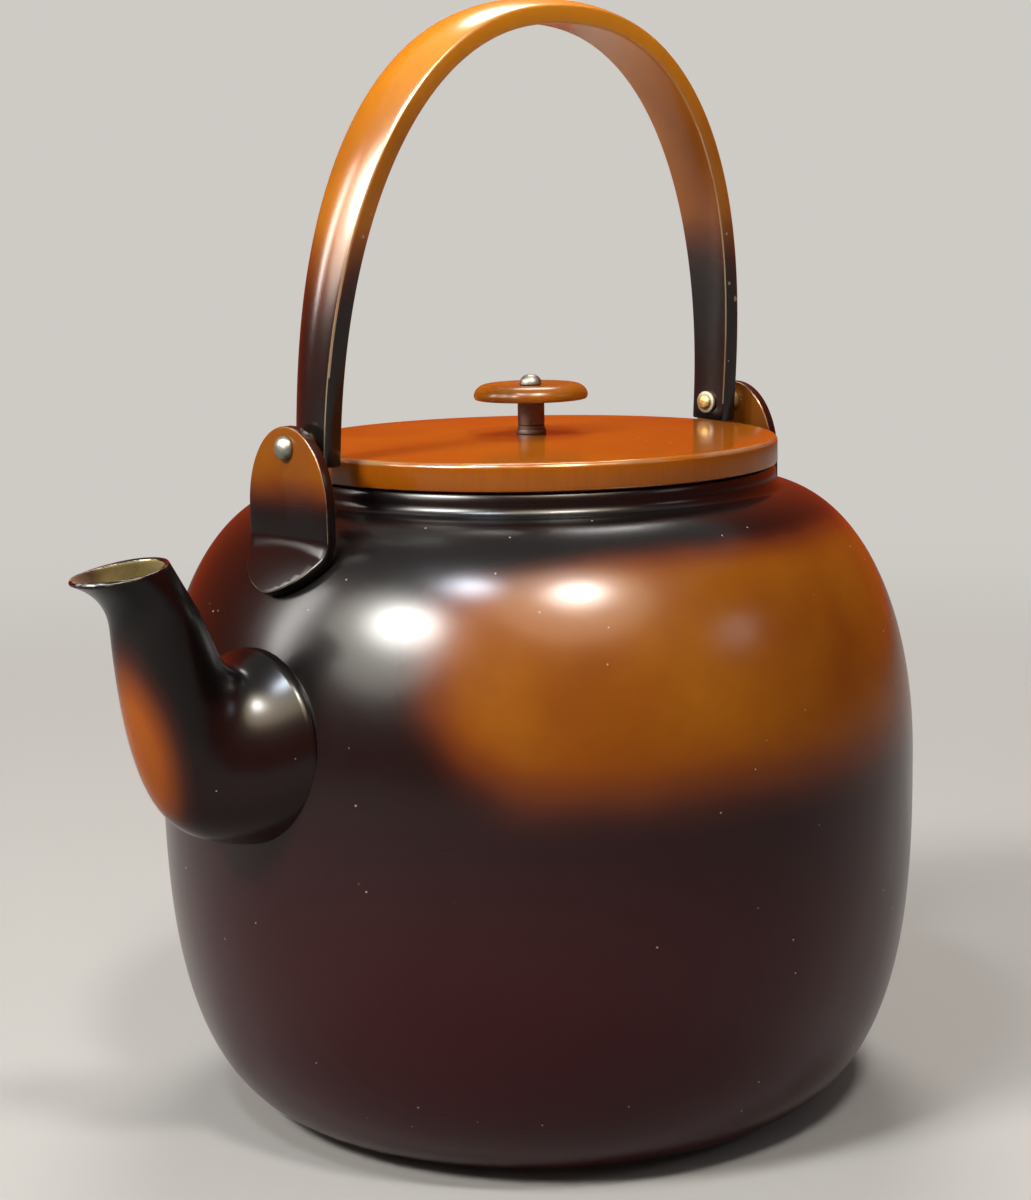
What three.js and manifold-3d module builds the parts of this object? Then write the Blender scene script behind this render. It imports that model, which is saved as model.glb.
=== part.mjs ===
// A metal water kettle with a short upturned spout, a lift-off lid and a swinging arch handle.
// Units are millimetres and +Z is up. The origin is the middle of the base, on the body's axis.
// The spout points along -X. The handle turns on two rivets on one line along X, one over the spout.
import * as THREE from "three";
import { mergeVertices } from "three/addons/utils/BufferGeometryUtils.js";
import Module from "manifold-3d";

const wasm = await Module();
wasm.setup();

// Gaps: between seated pieces, between stacked washers, and round a rivet in its holes
const seatGap = 0.3;
const stackGap = 0.12;
const rivetPlay = 0.1;

// Body, a spun shell whose belly and shoulder are superellipse curves
const neckRadius = 53;
const neckHeight = 139.4;
const neckStand = 4.7;
const neckFillet = 1.6;
const shoulderWidth = 29.5;
const shoulderFullness = 2.12;
const crownInset = 3.2;
const bellyHeight = 76;
const bellyFullness = 2.75;
const baseRadius = 46.5;
const bodyWall = 1.2;

// Spout: a tube whose wide round root lies on the belly. It bends up along its keel and its crotch, narrows
// to a round neck, and opens in an oval mouth with a lip that is drawn forwards and a little down.
const rootRadius = 19.7;
const rootHeight = 90;
const rootInset = 3;
const rootDepth = 14;
const spoutReach = 19.6;
const spoutRise = 28.5;
const spoutTaperEnd = 0.73;
const spoutNeckRadius = 8.7;
const spoutNeckTilt = 11;
const keelRun = 20.4;
const keelLift = 2.2;
const keelDrop = 36;
const keelLean = 2;
const crotchRun = 7.1;
const crotchDip = 9.9;
const crotchDrop = 8.6;
const crotchLean = 6.5;
const heelShift = 6.2;
const heelRise = 10.4;
const mouthLength = 20.2;
const mouthHalfWidth = 8.2;
const mouthFullness = 2.2;
const lipDrop = 3.5;
const rimCrown = 0.4;
const spoutWall = 1.1;
const pourHoleRadius = 13.5;

// Lid, a shallow cap on the neck, with a collar that drops into the body's opening
const lidOverhang = 0.3;
const skirtHeight = 5.6;
const lidCrownRise = 0.9;
const lidEdgeRadius = 1.1;
const lidWall = 1.1;
const collarPlay = 0.6;
const collarDepth = 8;
const collarWall = 1;
const collarFlange = 4;

// Knob on the lid: a mushroom disc on a post, held by one rivet
const knobRadius = 12.4;
const knobThickness = 3.4;
const knobEdgeRun = 3.2;
const knobFootRise = 0.8;
const knobFootRun = 0.6;
const knobDish = 0.4;
const knobDishRadius = 5.6;
const stemRadius = 2.9;
const stemLength = 7.2;
const stemRingRadius = 3.6;
const stemRingHeight = 0.9;
const stemRingChamfer = 0.3;
const knobShankRadius = 1.2;
const knobRivetRadius = 2.4;
const knobRivetRise = 2.3;
const knobEndRadius = 2;
const knobEndRise = 0.7;
const knobEndChamfer = 0.3;
const knobWasherRadius = 5;
const knobWasherThickness = 0.8;

// Handle, a bar bent to an arch, narrow at the rivets and wide at the top. At rest it leans a little.
const lidToLeg = 4.5;
const legThickness = 5.8;
const legWidth = 9.4;
const gripThickness = 5.2;
const gripWidth = 14.4;
const gripFullness = 0.8;
const barCrown = 1.2;
const barChamfer = 0.4;
const archHeight = 86.9;
const archFullness = 2.29;
const legTail = 4.2;
const rivetRise = 9.4;
const restLean = 3.9;

// Rivets and washers of the handle, and the ears that carry it
const rivetRadius = 1.35;
const headRadius = 2.45;
const headRise = 1.9;
const endRadius = 1.7;
const endRise = 1;
const endChamfer = 0.5;
const washerRadius = 2.5;
const washerThickness = 0.8;
const spacerThickness = 2.4;
const earThickness = 2.4;
const earHalfWidth = 12.2;
const earTop = 4.3;
const earTopRun = 16.5;
const earReach = 6.8;
const earFootRun = 11.6;
const earFootFullness = 1.6;
const earBendRadius = 6;

// Fineness of the round shapes
const roundSteps = 48;
const bellySteps = 10;
const shoulderSteps = 12;
const liningSteps = 8;
const spoutSteps = 32;
const tubeSteps = 18;
const mouthSteps = 5;
const knobSteps = 36;
const smallSteps = 24;
const edgeSteps = 4;
const archSteps = 44;
const earRows = 28;
const earColumns = 6;
const earEndStep = 0.35;

// Sizes that follow from those above
const bellyRadius = neckRadius + shoulderWidth;
const openingRadius = neckRadius - bodyWall;
const crownRadius = neckRadius - crownInset;
const neckFoot = neckHeight - neckStand;
const crownRise = (neckFoot - bellyHeight) / shoulderShare(neckRadius + neckFillet);
const lidRadius = neckRadius + lidOverhang;
const lidSeat = neckHeight + seatGap;
const lidRim = lidSeat + skirtHeight;
const lidCrown = lidRim + lidCrownRise;
const legInner = lidRadius + lidToLeg;
const legOuter = legInner + legThickness;
const archHalfSpan = (legInner + legOuter) / 2;
const rivetHeight = neckHeight + rivetRise;
const earInner = legOuter + spacerThickness + 2 * stackGap;
const earOuter = earInner + earThickness;

const steel = new THREE.MeshStandardMaterial({ color: 0x8d9498, roughness: 0.32, metalness: 1 });
const brass = new THREE.MeshStandardMaterial({ color: 0xb8924a, roughness: 0.35, metalness: 1 });
const bronze = new THREE.MeshStandardMaterial({ color: 0x3b322c, roughness: 0.45, metalness: 0.8 });
const black = new THREE.MeshStandardMaterial({ color: 0x241a1b, roughness: 0.18, metalness: 0.1 });
const amber = new THREE.MeshStandardMaterial({ color: 0x9a5216, roughness: 0.2, metalness: 0.15 });

// The shoulder's height at a radius, as a share of the crown's rise above the belly
function shoulderShare(radius) {
  const reach = THREE.MathUtils.clamp((radius - crownRadius) / (bellyRadius - crownRadius), 0, 1);
  return (1 - reach ** shoulderFullness) ** (1 / shoulderFullness);
}

function shoulderHeight(radius) {
  return bellyHeight + crownRise * shoulderShare(radius);
}

// Points of a quarter superellipse, as [across, up] shares of its half axes, from [1, 0] to [0, 1],
// or as far as a share across at which it stops
function quarterCurve(fullness, steps, stop = 0) {
  const points = [];
  const whole = Math.acos(stop ** (fullness / 2));
  for (let i = 0; i <= steps; i++) {
    const turn = whole * (i / steps);
    points.push([Math.max(Math.cos(turn), 0) ** (2 / fullness), Math.sin(turn) ** (2 / fullness)]);
  }
  return points;
}

// A round solid about Z from [radius, height] points, which run counterclockwise round its section
function turned(points, steps = smallSteps) {
  const profile = points.map(([radius, height]) => new THREE.Vector2(radius, height));
  return new THREE.LatheGeometry(profile, steps).rotateX(Math.PI / 2);
}

// The same for a ring, whose section closes on itself
function turnedRing(points, steps = smallSteps) {
  return turned([...points, points[0]], steps);
}

function solidOf(geometry) {
  const bare = geometry.clone();
  bare.deleteAttribute("normal");
  bare.deleteAttribute("uv");
  const merged = mergeVertices(bare, 1e-4);
  const vertProperties = merged.attributes.position.array;
  const triVerts = new Uint32Array(merged.index.array);
  return new wasm.Manifold(new wasm.Mesh({ numProp: 3, vertProperties, triVerts }));
}

function geometryOf(solid) {
  const mesh = solid.getMesh();
  const geometry = new THREE.BufferGeometry();
  geometry.setAttribute("position", new THREE.BufferAttribute(mesh.vertProperties, 3));
  geometry.setIndex(new THREE.BufferAttribute(mesh.triVerts, 1));
  return geometry;
}

// A closed solid through rings of as many points each. Each ring turns right-handed about the way on.
// The ends are capped, or the last ring is joined to the first.
function lofted(rings, joined = false) {
  const count = rings[0].length;
  const index = [];
  const spans = joined ? rings.length : rings.length - 1;
  for (let i = 0; i < spans; i++) {
    const here = i * count;
    const next = ((i + 1) % rings.length) * count;
    for (let j = 0; j < count; j++) {
      const k = (j + 1) % count;
      index.push(here + j, here + k, next + k, here + j, next + k, next + j);
    }
  }
  if (!joined) {
    const end = spans * count;
    for (let j = 1; j < count - 1; j++) {
      index.push(0, j + 1, j, end, end + j, end + j + 1);
    }
  }
  const geometry = new THREE.BufferGeometry();
  geometry.setFromPoints(rings.flat());
  geometry.setIndex(index);
  return geometry;
}

// A hole along X at a height, through the leg and the ear on the +X side
function rivetHole(height) {
  const radius = rivetRadius + rivetPlay;
  return solidOf(
    new THREE.CylinderGeometry(radius, radius, 2 * (earOuter - legInner), smallSteps)
      .rotateZ(Math.PI / 2)
      .translate((legInner + earOuter) / 2, 0, height),
  );
}

// The outline of a low dome, as [radius, height] points from its rim to its top
function domePoints(radius, seat, rise) {
  return quarterCurve(2, edgeSteps).map(([across, up]) => [radius * across, seat + rise * up]);
}

function piece(name, geometry, material) {
  geometry.computeVertexNormals();
  const mesh = new THREE.Mesh(geometry, material);
  mesh.name = name;
  return mesh;
}

// Body: the outline of its outside, moved inwards by an inset, from the base's middle up to a radius
function bodyOutline(inset, lowerSteps, upperSteps, stopRadius) {
  const bellyHalf = bellyRadius - inset - baseRadius;
  const crownHalf = bellyRadius - inset - crownRadius;
  const stop = Math.max(stopRadius - crownRadius, 0) / crownHalf;
  const lower = quarterCurve(bellyFullness, lowerSteps).reverse();
  const upper = quarterCurve(shoulderFullness, upperSteps, stop).slice(1);
  const bellyDrop = bellyHeight - inset;
  const crownLift = crownRise - inset;
  return [
    [0, inset],
    ...lower.map(([across, up]) => [baseRadius + bellyHalf * across, bellyHeight - bellyDrop * up]),
    ...upper.map(([across, up]) => [crownRadius + crownHalf * across, bellyHeight + crownLift * up]),
  ];
}

function bodyGeometry() {
  const footRadius = neckRadius + neckFillet;
  const outside = bodyOutline(0, bellySteps, shoulderSteps, footRadius);
  const fillet = quarterCurve(2, edgeSteps).slice(1).map(([across, up]) => {
    return [footRadius - neckFillet * up, neckFoot + neckFillet * (1 - across)];
  });
  const lipRound = bodyWall / 2;
  const lipHeight = neckHeight - lipRound;
  const outerLip = quarterCurve(2, 2).map(([across, up]) => {
    return [neckRadius - lipRound * (1 - across), lipHeight + lipRound * up];
  });
  const innerLip = outerLip.map(([r, z]) => [2 * (neckRadius - lipRound) - r, z]).reverse().slice(1);
  const inside = bodyOutline(bodyWall, liningSteps, liningSteps, openingRadius).reverse();
  const shell = solidOf(turned([...outside, ...fillet, ...outerLip, ...innerLip, ...inside], roundSteps));
  const drill = new THREE.CylinderGeometry(pourHoleRadius, pourHoleRadius, bellyRadius, smallSteps)
    .rotateZ(Math.PI / 2)
    .translate(-bellyRadius, 0, rootHeight);
  return geometryOf(shell.subtract(solidOf(drill)));
}

// The body's outside, grown by the seat gap and filled, to which the spout is cut back
function bodyBlock() {
  const outside = bodyOutline(-seatGap, bellySteps, shoulderSteps, crownRadius);
  return solidOf(turned([...outside, [0, bellyHeight + crownRise + seatGap]], roundSteps));
}

// Spout: its front and back outlines in the plane of symmetry, as curves of [x, z], in two stretches:
// from the root to the neck, and from the neck to the mouth
function spoutOutlines() {
  const at = (x, z) => new THREE.Vector2(x, z);
  const rootX = rootInset - bellyRadius;
  const tilt = THREE.MathUtils.degToRad(spoutNeckTilt);
  const neck = at(-bellyRadius - spoutReach, rootHeight + spoutRise);
  const half = at(-Math.cos(tilt), -Math.sin(tilt)).multiplyScalar(spoutNeckRadius);
  const front = neck.clone().add(half);
  const back = neck.clone().sub(half);
  const heel = at(back.x - heelShift, back.y + heelRise);
  const lip = at(heel.x - mouthLength, heel.y - lipDrop);
  const keel = new THREE.CubicBezierCurve(
    at(rootX, rootHeight - rootRadius),
    at(rootX - keelRun, rootHeight - rootRadius + keelLift),
    at(front.x + keelLean, front.y - keelDrop),
    front,
  );
  const crotch = new THREE.CubicBezierCurve(
    at(rootX, rootHeight + rootRadius),
    at(rootX - crotchRun, rootHeight + rootRadius - crotchDip),
    at(back.x + crotchLean, back.y - crotchDrop),
    back,
  );
  const onward = (curve, end) => {
    const from = curve.getPoint(1);
    return curve.getTangent(1).multiplyScalar(from.distanceTo(end) / 2).add(from);
  };
  return {
    keel,
    crotch,
    lipCurve: new THREE.QuadraticBezierCurve(front, onward(keel, lip), lip),
    heelCurve: new THREE.QuadraticBezierCurve(back, onward(crotch, heel), heel),
  };
}

// One ring of the spout, between a front and a back point, moved inwards by an inset
function spoutRing({ front, back, halfWidth, fullness, crown }, inset) {
  const middle = front.clone().add(back).multiplyScalar(0.5);
  const half = front.clone().sub(back).multiplyScalar(0.5);
  half.setLength(half.length() - inset);
  const points = [];
  for (let j = 0; j < spoutSteps; j++) {
    const angle = (2 * Math.PI * j) / spoutSteps;
    const along = Math.sign(Math.cos(angle)) * Math.abs(Math.cos(angle)) ** (2 / fullness);
    const across = Math.sign(Math.sin(angle)) * Math.abs(Math.sin(angle)) ** (2 / fullness);
    const z = middle.y + half.y * along + crown * (1 - along ** 2);
    points.push(new THREE.Vector3(middle.x + half.x * along, -(halfWidth - inset) * across, z));
  }
  return points;
}

function spoutStations() {
  const { keel, crotch, lipCurve, heelCurve } = spoutOutlines();
  const stations = [];
  for (let i = 0; i <= tubeSteps; i++) {
    const share = i / tubeSteps;
    const taper = Math.sin((Math.PI / 2) * Math.min(share / spoutTaperEnd, 1));
    const halfWidth = rootRadius + (spoutNeckRadius - rootRadius) * taper;
    const [front, back] = [keel.getPoint(share), crotch.getPoint(share)];
    stations.push({ front, back, halfWidth, fullness: 2, crown: 0 });
  }
  const foot = stations[0];
  const inward = new THREE.Vector2(rootDepth, 0);
  stations.unshift({ ...foot, front: foot.front.clone().add(inward), back: foot.back.clone().add(inward) });
  for (let i = 1; i <= mouthSteps; i++) {
    const share = i / mouthSteps;
    stations.push({
      front: lipCurve.getPoint(share),
      back: heelCurve.getPoint(share),
      halfWidth: spoutNeckRadius + (mouthHalfWidth - spoutNeckRadius) * share,
      fullness: 2 + (mouthFullness - 2) * share,
      crown: rimCrown * share,
    });
  }
  return stations;
}

function spoutGeometry() {
  const stations = spoutStations();
  const outside = stations.map((station) => spoutRing(station, 0));
  const inside = stations.map((station) => spoutRing(station, spoutWall));
  const tube = solidOf(lofted([...outside, ...inside.reverse()], true));
  return geometryOf(tube.subtract(bodyBlock()));
}

// A point of the shoulder at a radius, with the seat gap laid on, and the way down along it
function seatPoint(radius) {
  const step = 0.5;
  const rise = shoulderHeight(radius + step) - shoulderHeight(radius - step);
  const down = new THREE.Vector2(2 * step, rise).normalize();
  const point = new THREE.Vector2(radius - down.y * seatGap, shoulderHeight(radius) + down.x * seatGap);
  return { point, down };
}

// The line of the ear's inner face on the +X side: upright, a bend, and a foot along the shoulder
function earLine() {
  let touch = earInner;
  for (let i = 0; i < 12; i++) {
    const { point, down } = seatPoint(touch);
    touch += earInner + earBendRadius * (1 + down.y) - point.x;
  }
  const { point, down } = seatPoint(touch);
  const lean = Math.acos(-down.y);
  const centre = new THREE.Vector2(earInner + earBendRadius, point.y + earBendRadius * Math.sin(lean));
  const line = [new THREE.Vector2(earInner, rivetHeight + earTop)];
  for (let i = 0; i < edgeSteps; i++) {
    const turn = lean * (i / edgeSteps);
    const arm = new THREE.Vector2(-Math.cos(turn), -Math.sin(turn)).multiplyScalar(earBendRadius);
    line.push(arm.add(centre));
  }
  for (let i = 0; i <= edgeSteps; i++) {
    line.push(seatPoint(touch + (earInner + earReach - touch) * (i / edgeSteps)).point);
  }
  return { path: new THREE.Path(line), upright: rivetHeight + earTop - centre.y, arc: earBendRadius * lean };
}

// Ear on the +X side: a plate along that line, with a long oval top and a blunter foot
function earGeometry() {
  const { path, upright, arc } = earLine();
  const length = path.getLength();
  const rings = [];
  for (let i = 0; i <= earRows; i++) {
    const share = (1 - Math.cos((Math.PI * (i + earEndStep)) / (earRows + 2 * earEndStep))) / 2;
    const run = length * share;
    const intoTop = Math.max(1 - run / earTopRun, 0);
    const intoFoot = Math.max(1 - (length - run) / earFootRun, 0);
    const topShare = Math.sqrt(1 - intoTop ** 2);
    const footShare = (1 - intoFoot ** earFootFullness) ** (1 / earFootFullness);
    const half = earHalfWidth * Math.min(topShare, footShare);
    const at = path.getPoint(share);
    const along = path.getTangent(share);
    const settled = THREE.MathUtils.clamp((run - upright) / arc, 0, 1);
    const inner = [];
    const outer = [];
    for (let j = 0; j <= earColumns; j++) {
      const y = half * ((2 * j) / earColumns - 1);
      const drop = (shoulderHeight(at.x) - shoulderHeight(Math.hypot(at.x, y))) * settled;
      const point = new THREE.Vector3(at.x, y, at.y - drop);
      inner.push(point);
      outer.push(point.clone().add(new THREE.Vector3(-along.y, 0, along.x).multiplyScalar(earThickness)));
    }
    rings.push([...inner, ...outer.reverse()]);
  }
  return geometryOf(solidOf(lofted(rings)).subtract(rivetHole(rivetHeight)));
}

// Rivet through ear, spacer, leg and washer, along +X from its peened end to its domed head
function handleRivetGeometry() {
  const endSeat = legInner - washerThickness - 2 * stackGap;
  const headSeat = earOuter + stackGap;
  return turned([
    [0, endSeat - endRise],
    [endRadius - endChamfer, endSeat - endRise],
    [endRadius, endSeat - endRise + endChamfer],
    [endRadius, endSeat],
    [rivetRadius, endSeat],
    [rivetRadius, headSeat],
    ...domePoints(headRadius, headSeat, headRise),
  ]).rotateY(Math.PI / 2).translate(0, 0, rivetHeight);
}

function washerGeometry(innerFace, thickness) {
  return turnedRing([
    [rivetRadius + rivetPlay, innerFace],
    [washerRadius, innerFace],
    [washerRadius, innerFace + thickness],
    [rivetRadius + rivetPlay, innerFace + thickness],
  ]).rotateY(Math.PI / 2).translate(0, 0, rivetHeight);
}

// Handle: a section across the bar, flat inside and crowned outside, at a width and thickness
function barSection(width, thickness) {
  const half = width / 2;
  const back = -thickness / 2;
  const edge = thickness / 2 - barCrown;
  const crown = [1, 0.6, 0.2, -0.2, -0.6, -1].map((share) => {
    return [edge + barCrown * (1 - share ** 2), half * share];
  });
  return [
    [back, -half + barChamfer],
    [back, half - barChamfer],
    [back + barChamfer, half],
    ...crown,
    [back + barChamfer, -half],
  ];
}

// The arch's middle line above the rivets' axis, from the spout's leg over the top to the other leg
function archPoint(turn) {
  const across = Math.cos(turn);
  const x = -archHalfSpan * Math.sign(across) * Math.abs(across) ** (2 / archFullness);
  return new THREE.Vector2(x, archHeight * Math.max(Math.sin(turn), 0) ** (2 / archFullness));
}

// The bar stands over its own axis here, and its group leans it and sets it on the rivets
function handleGeometry() {
  const line = [new THREE.Vector2(-archHalfSpan, -legTail)];
  for (let i = 0; i <= archSteps; i++) line.push(archPoint((Math.PI * i) / archSteps));
  line.push(new THREE.Vector2(archHalfSpan, -legTail));
  const rings = line.map((point, i) => {
    const before = line[Math.max(i - 1, 0)];
    const after = line[Math.min(i + 1, line.length - 1)];
    const along = after.clone().sub(before).normalize();
    const outward = new THREE.Vector2(-along.y, along.x);
    const lift = THREE.MathUtils.smoothstep(point.y, 0, archHeight);
    const width = legWidth + (gripWidth - legWidth) * lift ** gripFullness;
    const thickness = legThickness + (gripThickness - legThickness) * lift;
    return barSection(width, thickness).map(
      ([out, side]) => new THREE.Vector3(point.x + outward.x * out, side, point.y + outward.y * out),
    );
  });
  const hole = rivetHole(0);
  return geometryOf(solidOf(lofted(rings)).subtract(hole).subtract(hole.rotate([0, 0, 180])));
}

// Lid: the top's height at a radius
function lidTop(radius) {
  return lidRim + lidCrownRise * (1 - (radius / lidRadius) ** 2);
}

function lidGeometry() {
  const round = lidRadius - lidEdgeRadius;
  const edge = domePoints(lidEdgeRadius, lidTop(round) - lidEdgeRadius, lidEdgeRadius)
    .map(([r, z]) => [round + r, z]);
  const top = [0.75, 0.5, 0.25].map((share) => [lidRadius * share, lidTop(lidRadius * share)]);
  const hole = knobShankRadius + rivetPlay;
  const under = [0.25, 0.5, 0.75].map((share) => [lidRadius * share, lidTop(lidRadius * share) - lidWall]);
  const inner = lidRadius - lidWall;
  return turnedRing([
    [lidRadius, lidSeat],
    ...edge,
    ...top,
    [hole, lidCrown],
    [hole, lidCrown - lidWall],
    ...under,
    [inner, lidTop(inner) - lidWall],
    [inner, lidSeat],
  ], roundSteps);
}

function collarGeometry() {
  const outer = openingRadius - collarPlay;
  const inner = outer - collarWall;
  const top = lidTop(outer) - lidWall - seatGap;
  return turnedRing([
    [inner, lidSeat - collarDepth],
    [outer, lidSeat - collarDepth],
    [outer, top],
    [inner - collarFlange, top],
    [inner - collarFlange, top - collarWall],
    [inner, top - collarWall],
  ], roundSteps);
}

// Knob, from the lid upwards
const stemFoot = lidCrown + stackGap;
const discFoot = stemFoot + stemLength + stackGap;
const discTop = discFoot + knobThickness;

function stemRingGeometry() {
  return turnedRing([
    [stemRadius + rivetPlay, stemFoot],
    [stemRingRadius, stemFoot],
    [stemRingRadius, stemFoot + stemRingHeight - stemRingChamfer],
    [stemRingRadius - stemRingChamfer, stemFoot + stemRingHeight],
    [stemRadius + rivetPlay, stemFoot + stemRingHeight],
  ]);
}

function stemGeometry() {
  return turnedRing([
    [knobShankRadius + rivetPlay, stemFoot],
    [stemRadius, stemFoot],
    [stemRadius, stemFoot + stemLength],
    [knobShankRadius + rivetPlay, stemFoot + stemLength],
  ]);
}

function discGeometry() {
  const hole = knobShankRadius + rivetPlay;
  const edge = domePoints(knobEdgeRun, discFoot + knobFootRise, knobThickness - knobFootRise)
    .map(([r, z]) => [knobRadius - knobEdgeRun + r, z]);
  return turnedRing([
    [hole, discFoot],
    [knobRadius - knobFootRun, discFoot],
    ...edge,
    [knobDishRadius, discTop - knobDish],
    [hole, discTop - knobDish],
  ], knobSteps);
}

function knobRivetGeometry() {
  const headSeat = discTop - knobDish + stackGap;
  const endSeat = lidCrown - lidWall - knobWasherThickness - 2 * stackGap;
  return turned([
    [0, endSeat - knobEndRise],
    [knobEndRadius - knobEndChamfer, endSeat - knobEndRise],
    [knobEndRadius, endSeat - knobEndRise + knobEndChamfer],
    [knobEndRadius, endSeat],
    [knobShankRadius, endSeat],
    [knobShankRadius, headSeat],
    ...domePoints(knobRivetRadius, headSeat, knobRivetRise),
  ]);
}

function knobWasherGeometry() {
  const top = lidCrown - lidWall - stackGap;
  return turnedRing([
    [knobShankRadius + rivetPlay, top - knobWasherThickness],
    [knobWasherRadius, top - knobWasherThickness],
    [knobWasherRadius, top],
    [knobShankRadius + rivetPlay, top],
  ]);
}

// The pieces at both ends of the handle's axis: made on the +X side and turned round for the spout's side
function earGroup(side) {
  const group = new THREE.Group();
  group.add(piece(`${side}_ear`, earGeometry(), amber));
  group.add(piece(`${side}_rivet`, handleRivetGeometry(), steel));
  const washerFace = legInner - stackGap - washerThickness;
  group.add(piece(`${side}_spacer`, washerGeometry(legOuter + stackGap, spacerThickness), brass));
  group.add(piece(`${side}_washer`, washerGeometry(washerFace, washerThickness), steel));
  return group;
}

const kettle = new THREE.Group();
kettle.add(piece("body", bodyGeometry(), black));
kettle.add(piece("spout", spoutGeometry(), black));
const front = earGroup("front");
front.rotation.z = Math.PI;
kettle.add(front);
kettle.add(earGroup("rear"));

const handle = new THREE.Group();
handle.position.z = rivetHeight;
handle.rotation.x = THREE.MathUtils.degToRad(restLean);
handle.add(piece("handle_bar", handleGeometry(), amber));
kettle.add(handle);

const lid = new THREE.Group();
lid.add(piece("lid_cap", lidGeometry(), amber));
lid.add(piece("lid_collar", collarGeometry(), brass));
lid.add(piece("knob_ring", stemRingGeometry(), bronze));
lid.add(piece("knob_stem", stemGeometry(), bronze));
lid.add(piece("knob_disc", discGeometry(), amber));
lid.add(piece("knob_rivet", knobRivetGeometry(), steel));
lid.add(piece("knob_washer", knobWasherGeometry(), steel));
kettle.add(lid);

export default kettle;
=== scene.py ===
"""A metal water kettle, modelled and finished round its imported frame.

A spun body with a short upturned spout, a flat lid with a mushroom knob, and an arch handle that swings
on two riveted ears. The spout points along -X. Sizes are in millimetres, and become metres where a mesh is
made.
"""

import logging
import math
from dataclasses import dataclass, field
from enum import Enum
from typing import Callable, Iterable, Optional, Sequence, Union

import bmesh
import bpy
from mathutils import Matrix, Vector


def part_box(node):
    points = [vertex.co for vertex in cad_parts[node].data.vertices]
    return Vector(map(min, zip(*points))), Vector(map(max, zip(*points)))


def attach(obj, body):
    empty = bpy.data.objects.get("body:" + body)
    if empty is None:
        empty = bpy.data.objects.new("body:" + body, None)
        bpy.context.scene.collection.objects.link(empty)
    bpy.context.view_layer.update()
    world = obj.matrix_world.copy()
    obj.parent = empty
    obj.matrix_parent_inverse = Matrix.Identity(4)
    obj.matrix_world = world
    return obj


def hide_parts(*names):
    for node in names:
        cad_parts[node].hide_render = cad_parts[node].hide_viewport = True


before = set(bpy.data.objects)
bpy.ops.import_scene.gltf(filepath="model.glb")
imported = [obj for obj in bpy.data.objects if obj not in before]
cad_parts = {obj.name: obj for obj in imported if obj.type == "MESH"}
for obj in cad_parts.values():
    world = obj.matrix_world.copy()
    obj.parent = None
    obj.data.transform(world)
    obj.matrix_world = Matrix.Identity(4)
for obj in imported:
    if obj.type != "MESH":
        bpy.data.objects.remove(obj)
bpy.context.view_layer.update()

MM = 0.001
DOUBLE = 1e-5
SHARP = 0.6
DRILL_SIDES = 48
MIDDLE_STRIP = (0.5, 0.86)
NOISE_GAIN = 3
SPECK_CORE = 0.6
CHIP_CORE = 0.75
CHIP_RAGGED = 0.45
CHIP_GRAIN = 0.8
Colour = tuple[float, float, float]
Point = tuple[float, float]
log = logging.getLogger("kettle")


class Carrier(Enum):
    """The three bodies that pieces ride on."""

    KETTLE = "kettle"
    HANDLE = "handle"
    LID = "lid"


class Slot(Enum):
    """The record's material slots."""

    BODY = "body_finish"
    SPOUT = "spout_finish"
    HANDLE = "handle_finish"
    LID = "lid_finish"
    EAR = "ear_finish"
    STEEL = "rivet_steel"
    BRASS = "washer_brass"
    BRONZE = "dark_bronze"
    COPPER = "bare_copper"


class Side(Enum):
    """The two ends of the handle's axis, with the turn about Z from the rear one."""

    FRONT = 180
    REAR = 0


# Modelling tools


def deselect() -> None:
    """Selects nothing, so that an operator acts on the new piece alone."""
    bpy.ops.object.select_all(action="DESELECT")


def take(piece: bpy.types.Object) -> None:
    """Selects one piece and makes it the active one."""
    deselect()
    piece.select_set(True)
    bpy.context.view_layer.objects.active = piece


def open_piece(piece: bpy.types.Object) -> None:
    """Opens a piece in edit mode with all of it selected."""
    take(piece)
    bpy.ops.object.mode_set(mode="EDIT")
    bpy.ops.mesh.select_mode(type="VERT")
    bpy.ops.mesh.select_all(action="SELECT")


def close_piece() -> None:
    """Goes back to object mode."""
    bpy.ops.object.mode_set(mode="OBJECT")


def turn(angle: float, axis: str, centre: Vector) -> None:
    """Turns the selection, right-handed about a global axis.

    Args:
        angle: in radians.
        axis: X, Y or Z.
        centre: the point that stays, in metres.
    """
    bpy.ops.transform.rotate(value=-angle, orient_axis=axis, center_override=centre)


def move(shift: Vector) -> None:
    """Moves the selection by a shift in metres."""
    bpy.ops.transform.translate(value=shift)


def start_point(name: str, place: Vector) -> bpy.types.Object:
    """Adds a piece of one vertex and leaves it open, selected, in edit mode.

    Args:
        name: the piece's name.
        place: where the vertex goes, in metres.

    Returns:
        The new piece, whose object stands at the origin.
    """
    deselect()
    bpy.ops.mesh.primitive_plane_add(size=MM, location=(0, 0, 0))
    piece = bpy.context.active_object
    piece.name = name
    piece.data.name = name
    open_piece(piece)
    bpy.ops.mesh.merge(type="CENTER")
    move(place)
    return piece


def draw_on(start: Vector, points: Iterable[Vector]) -> None:
    """Draws a line on from the selected vertex, one extrusion for each point.

    Args:
        start: where the selected vertex is.
        points: the points that follow, in metres.
    """
    place = start
    for point in points:
        bpy.ops.mesh.extrude_region_move(TRANSFORM_OT_translate={"value": point - place})
        place = point


def merge_doubles() -> None:
    """Joins vertices that lie on each other, and points the open piece's faces outwards."""
    bpy.ops.mesh.select_all(action="SELECT")
    bpy.ops.mesh.remove_doubles(threshold=DOUBLE)
    bpy.ops.mesh.normals_make_consistent(inside=False)


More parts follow.
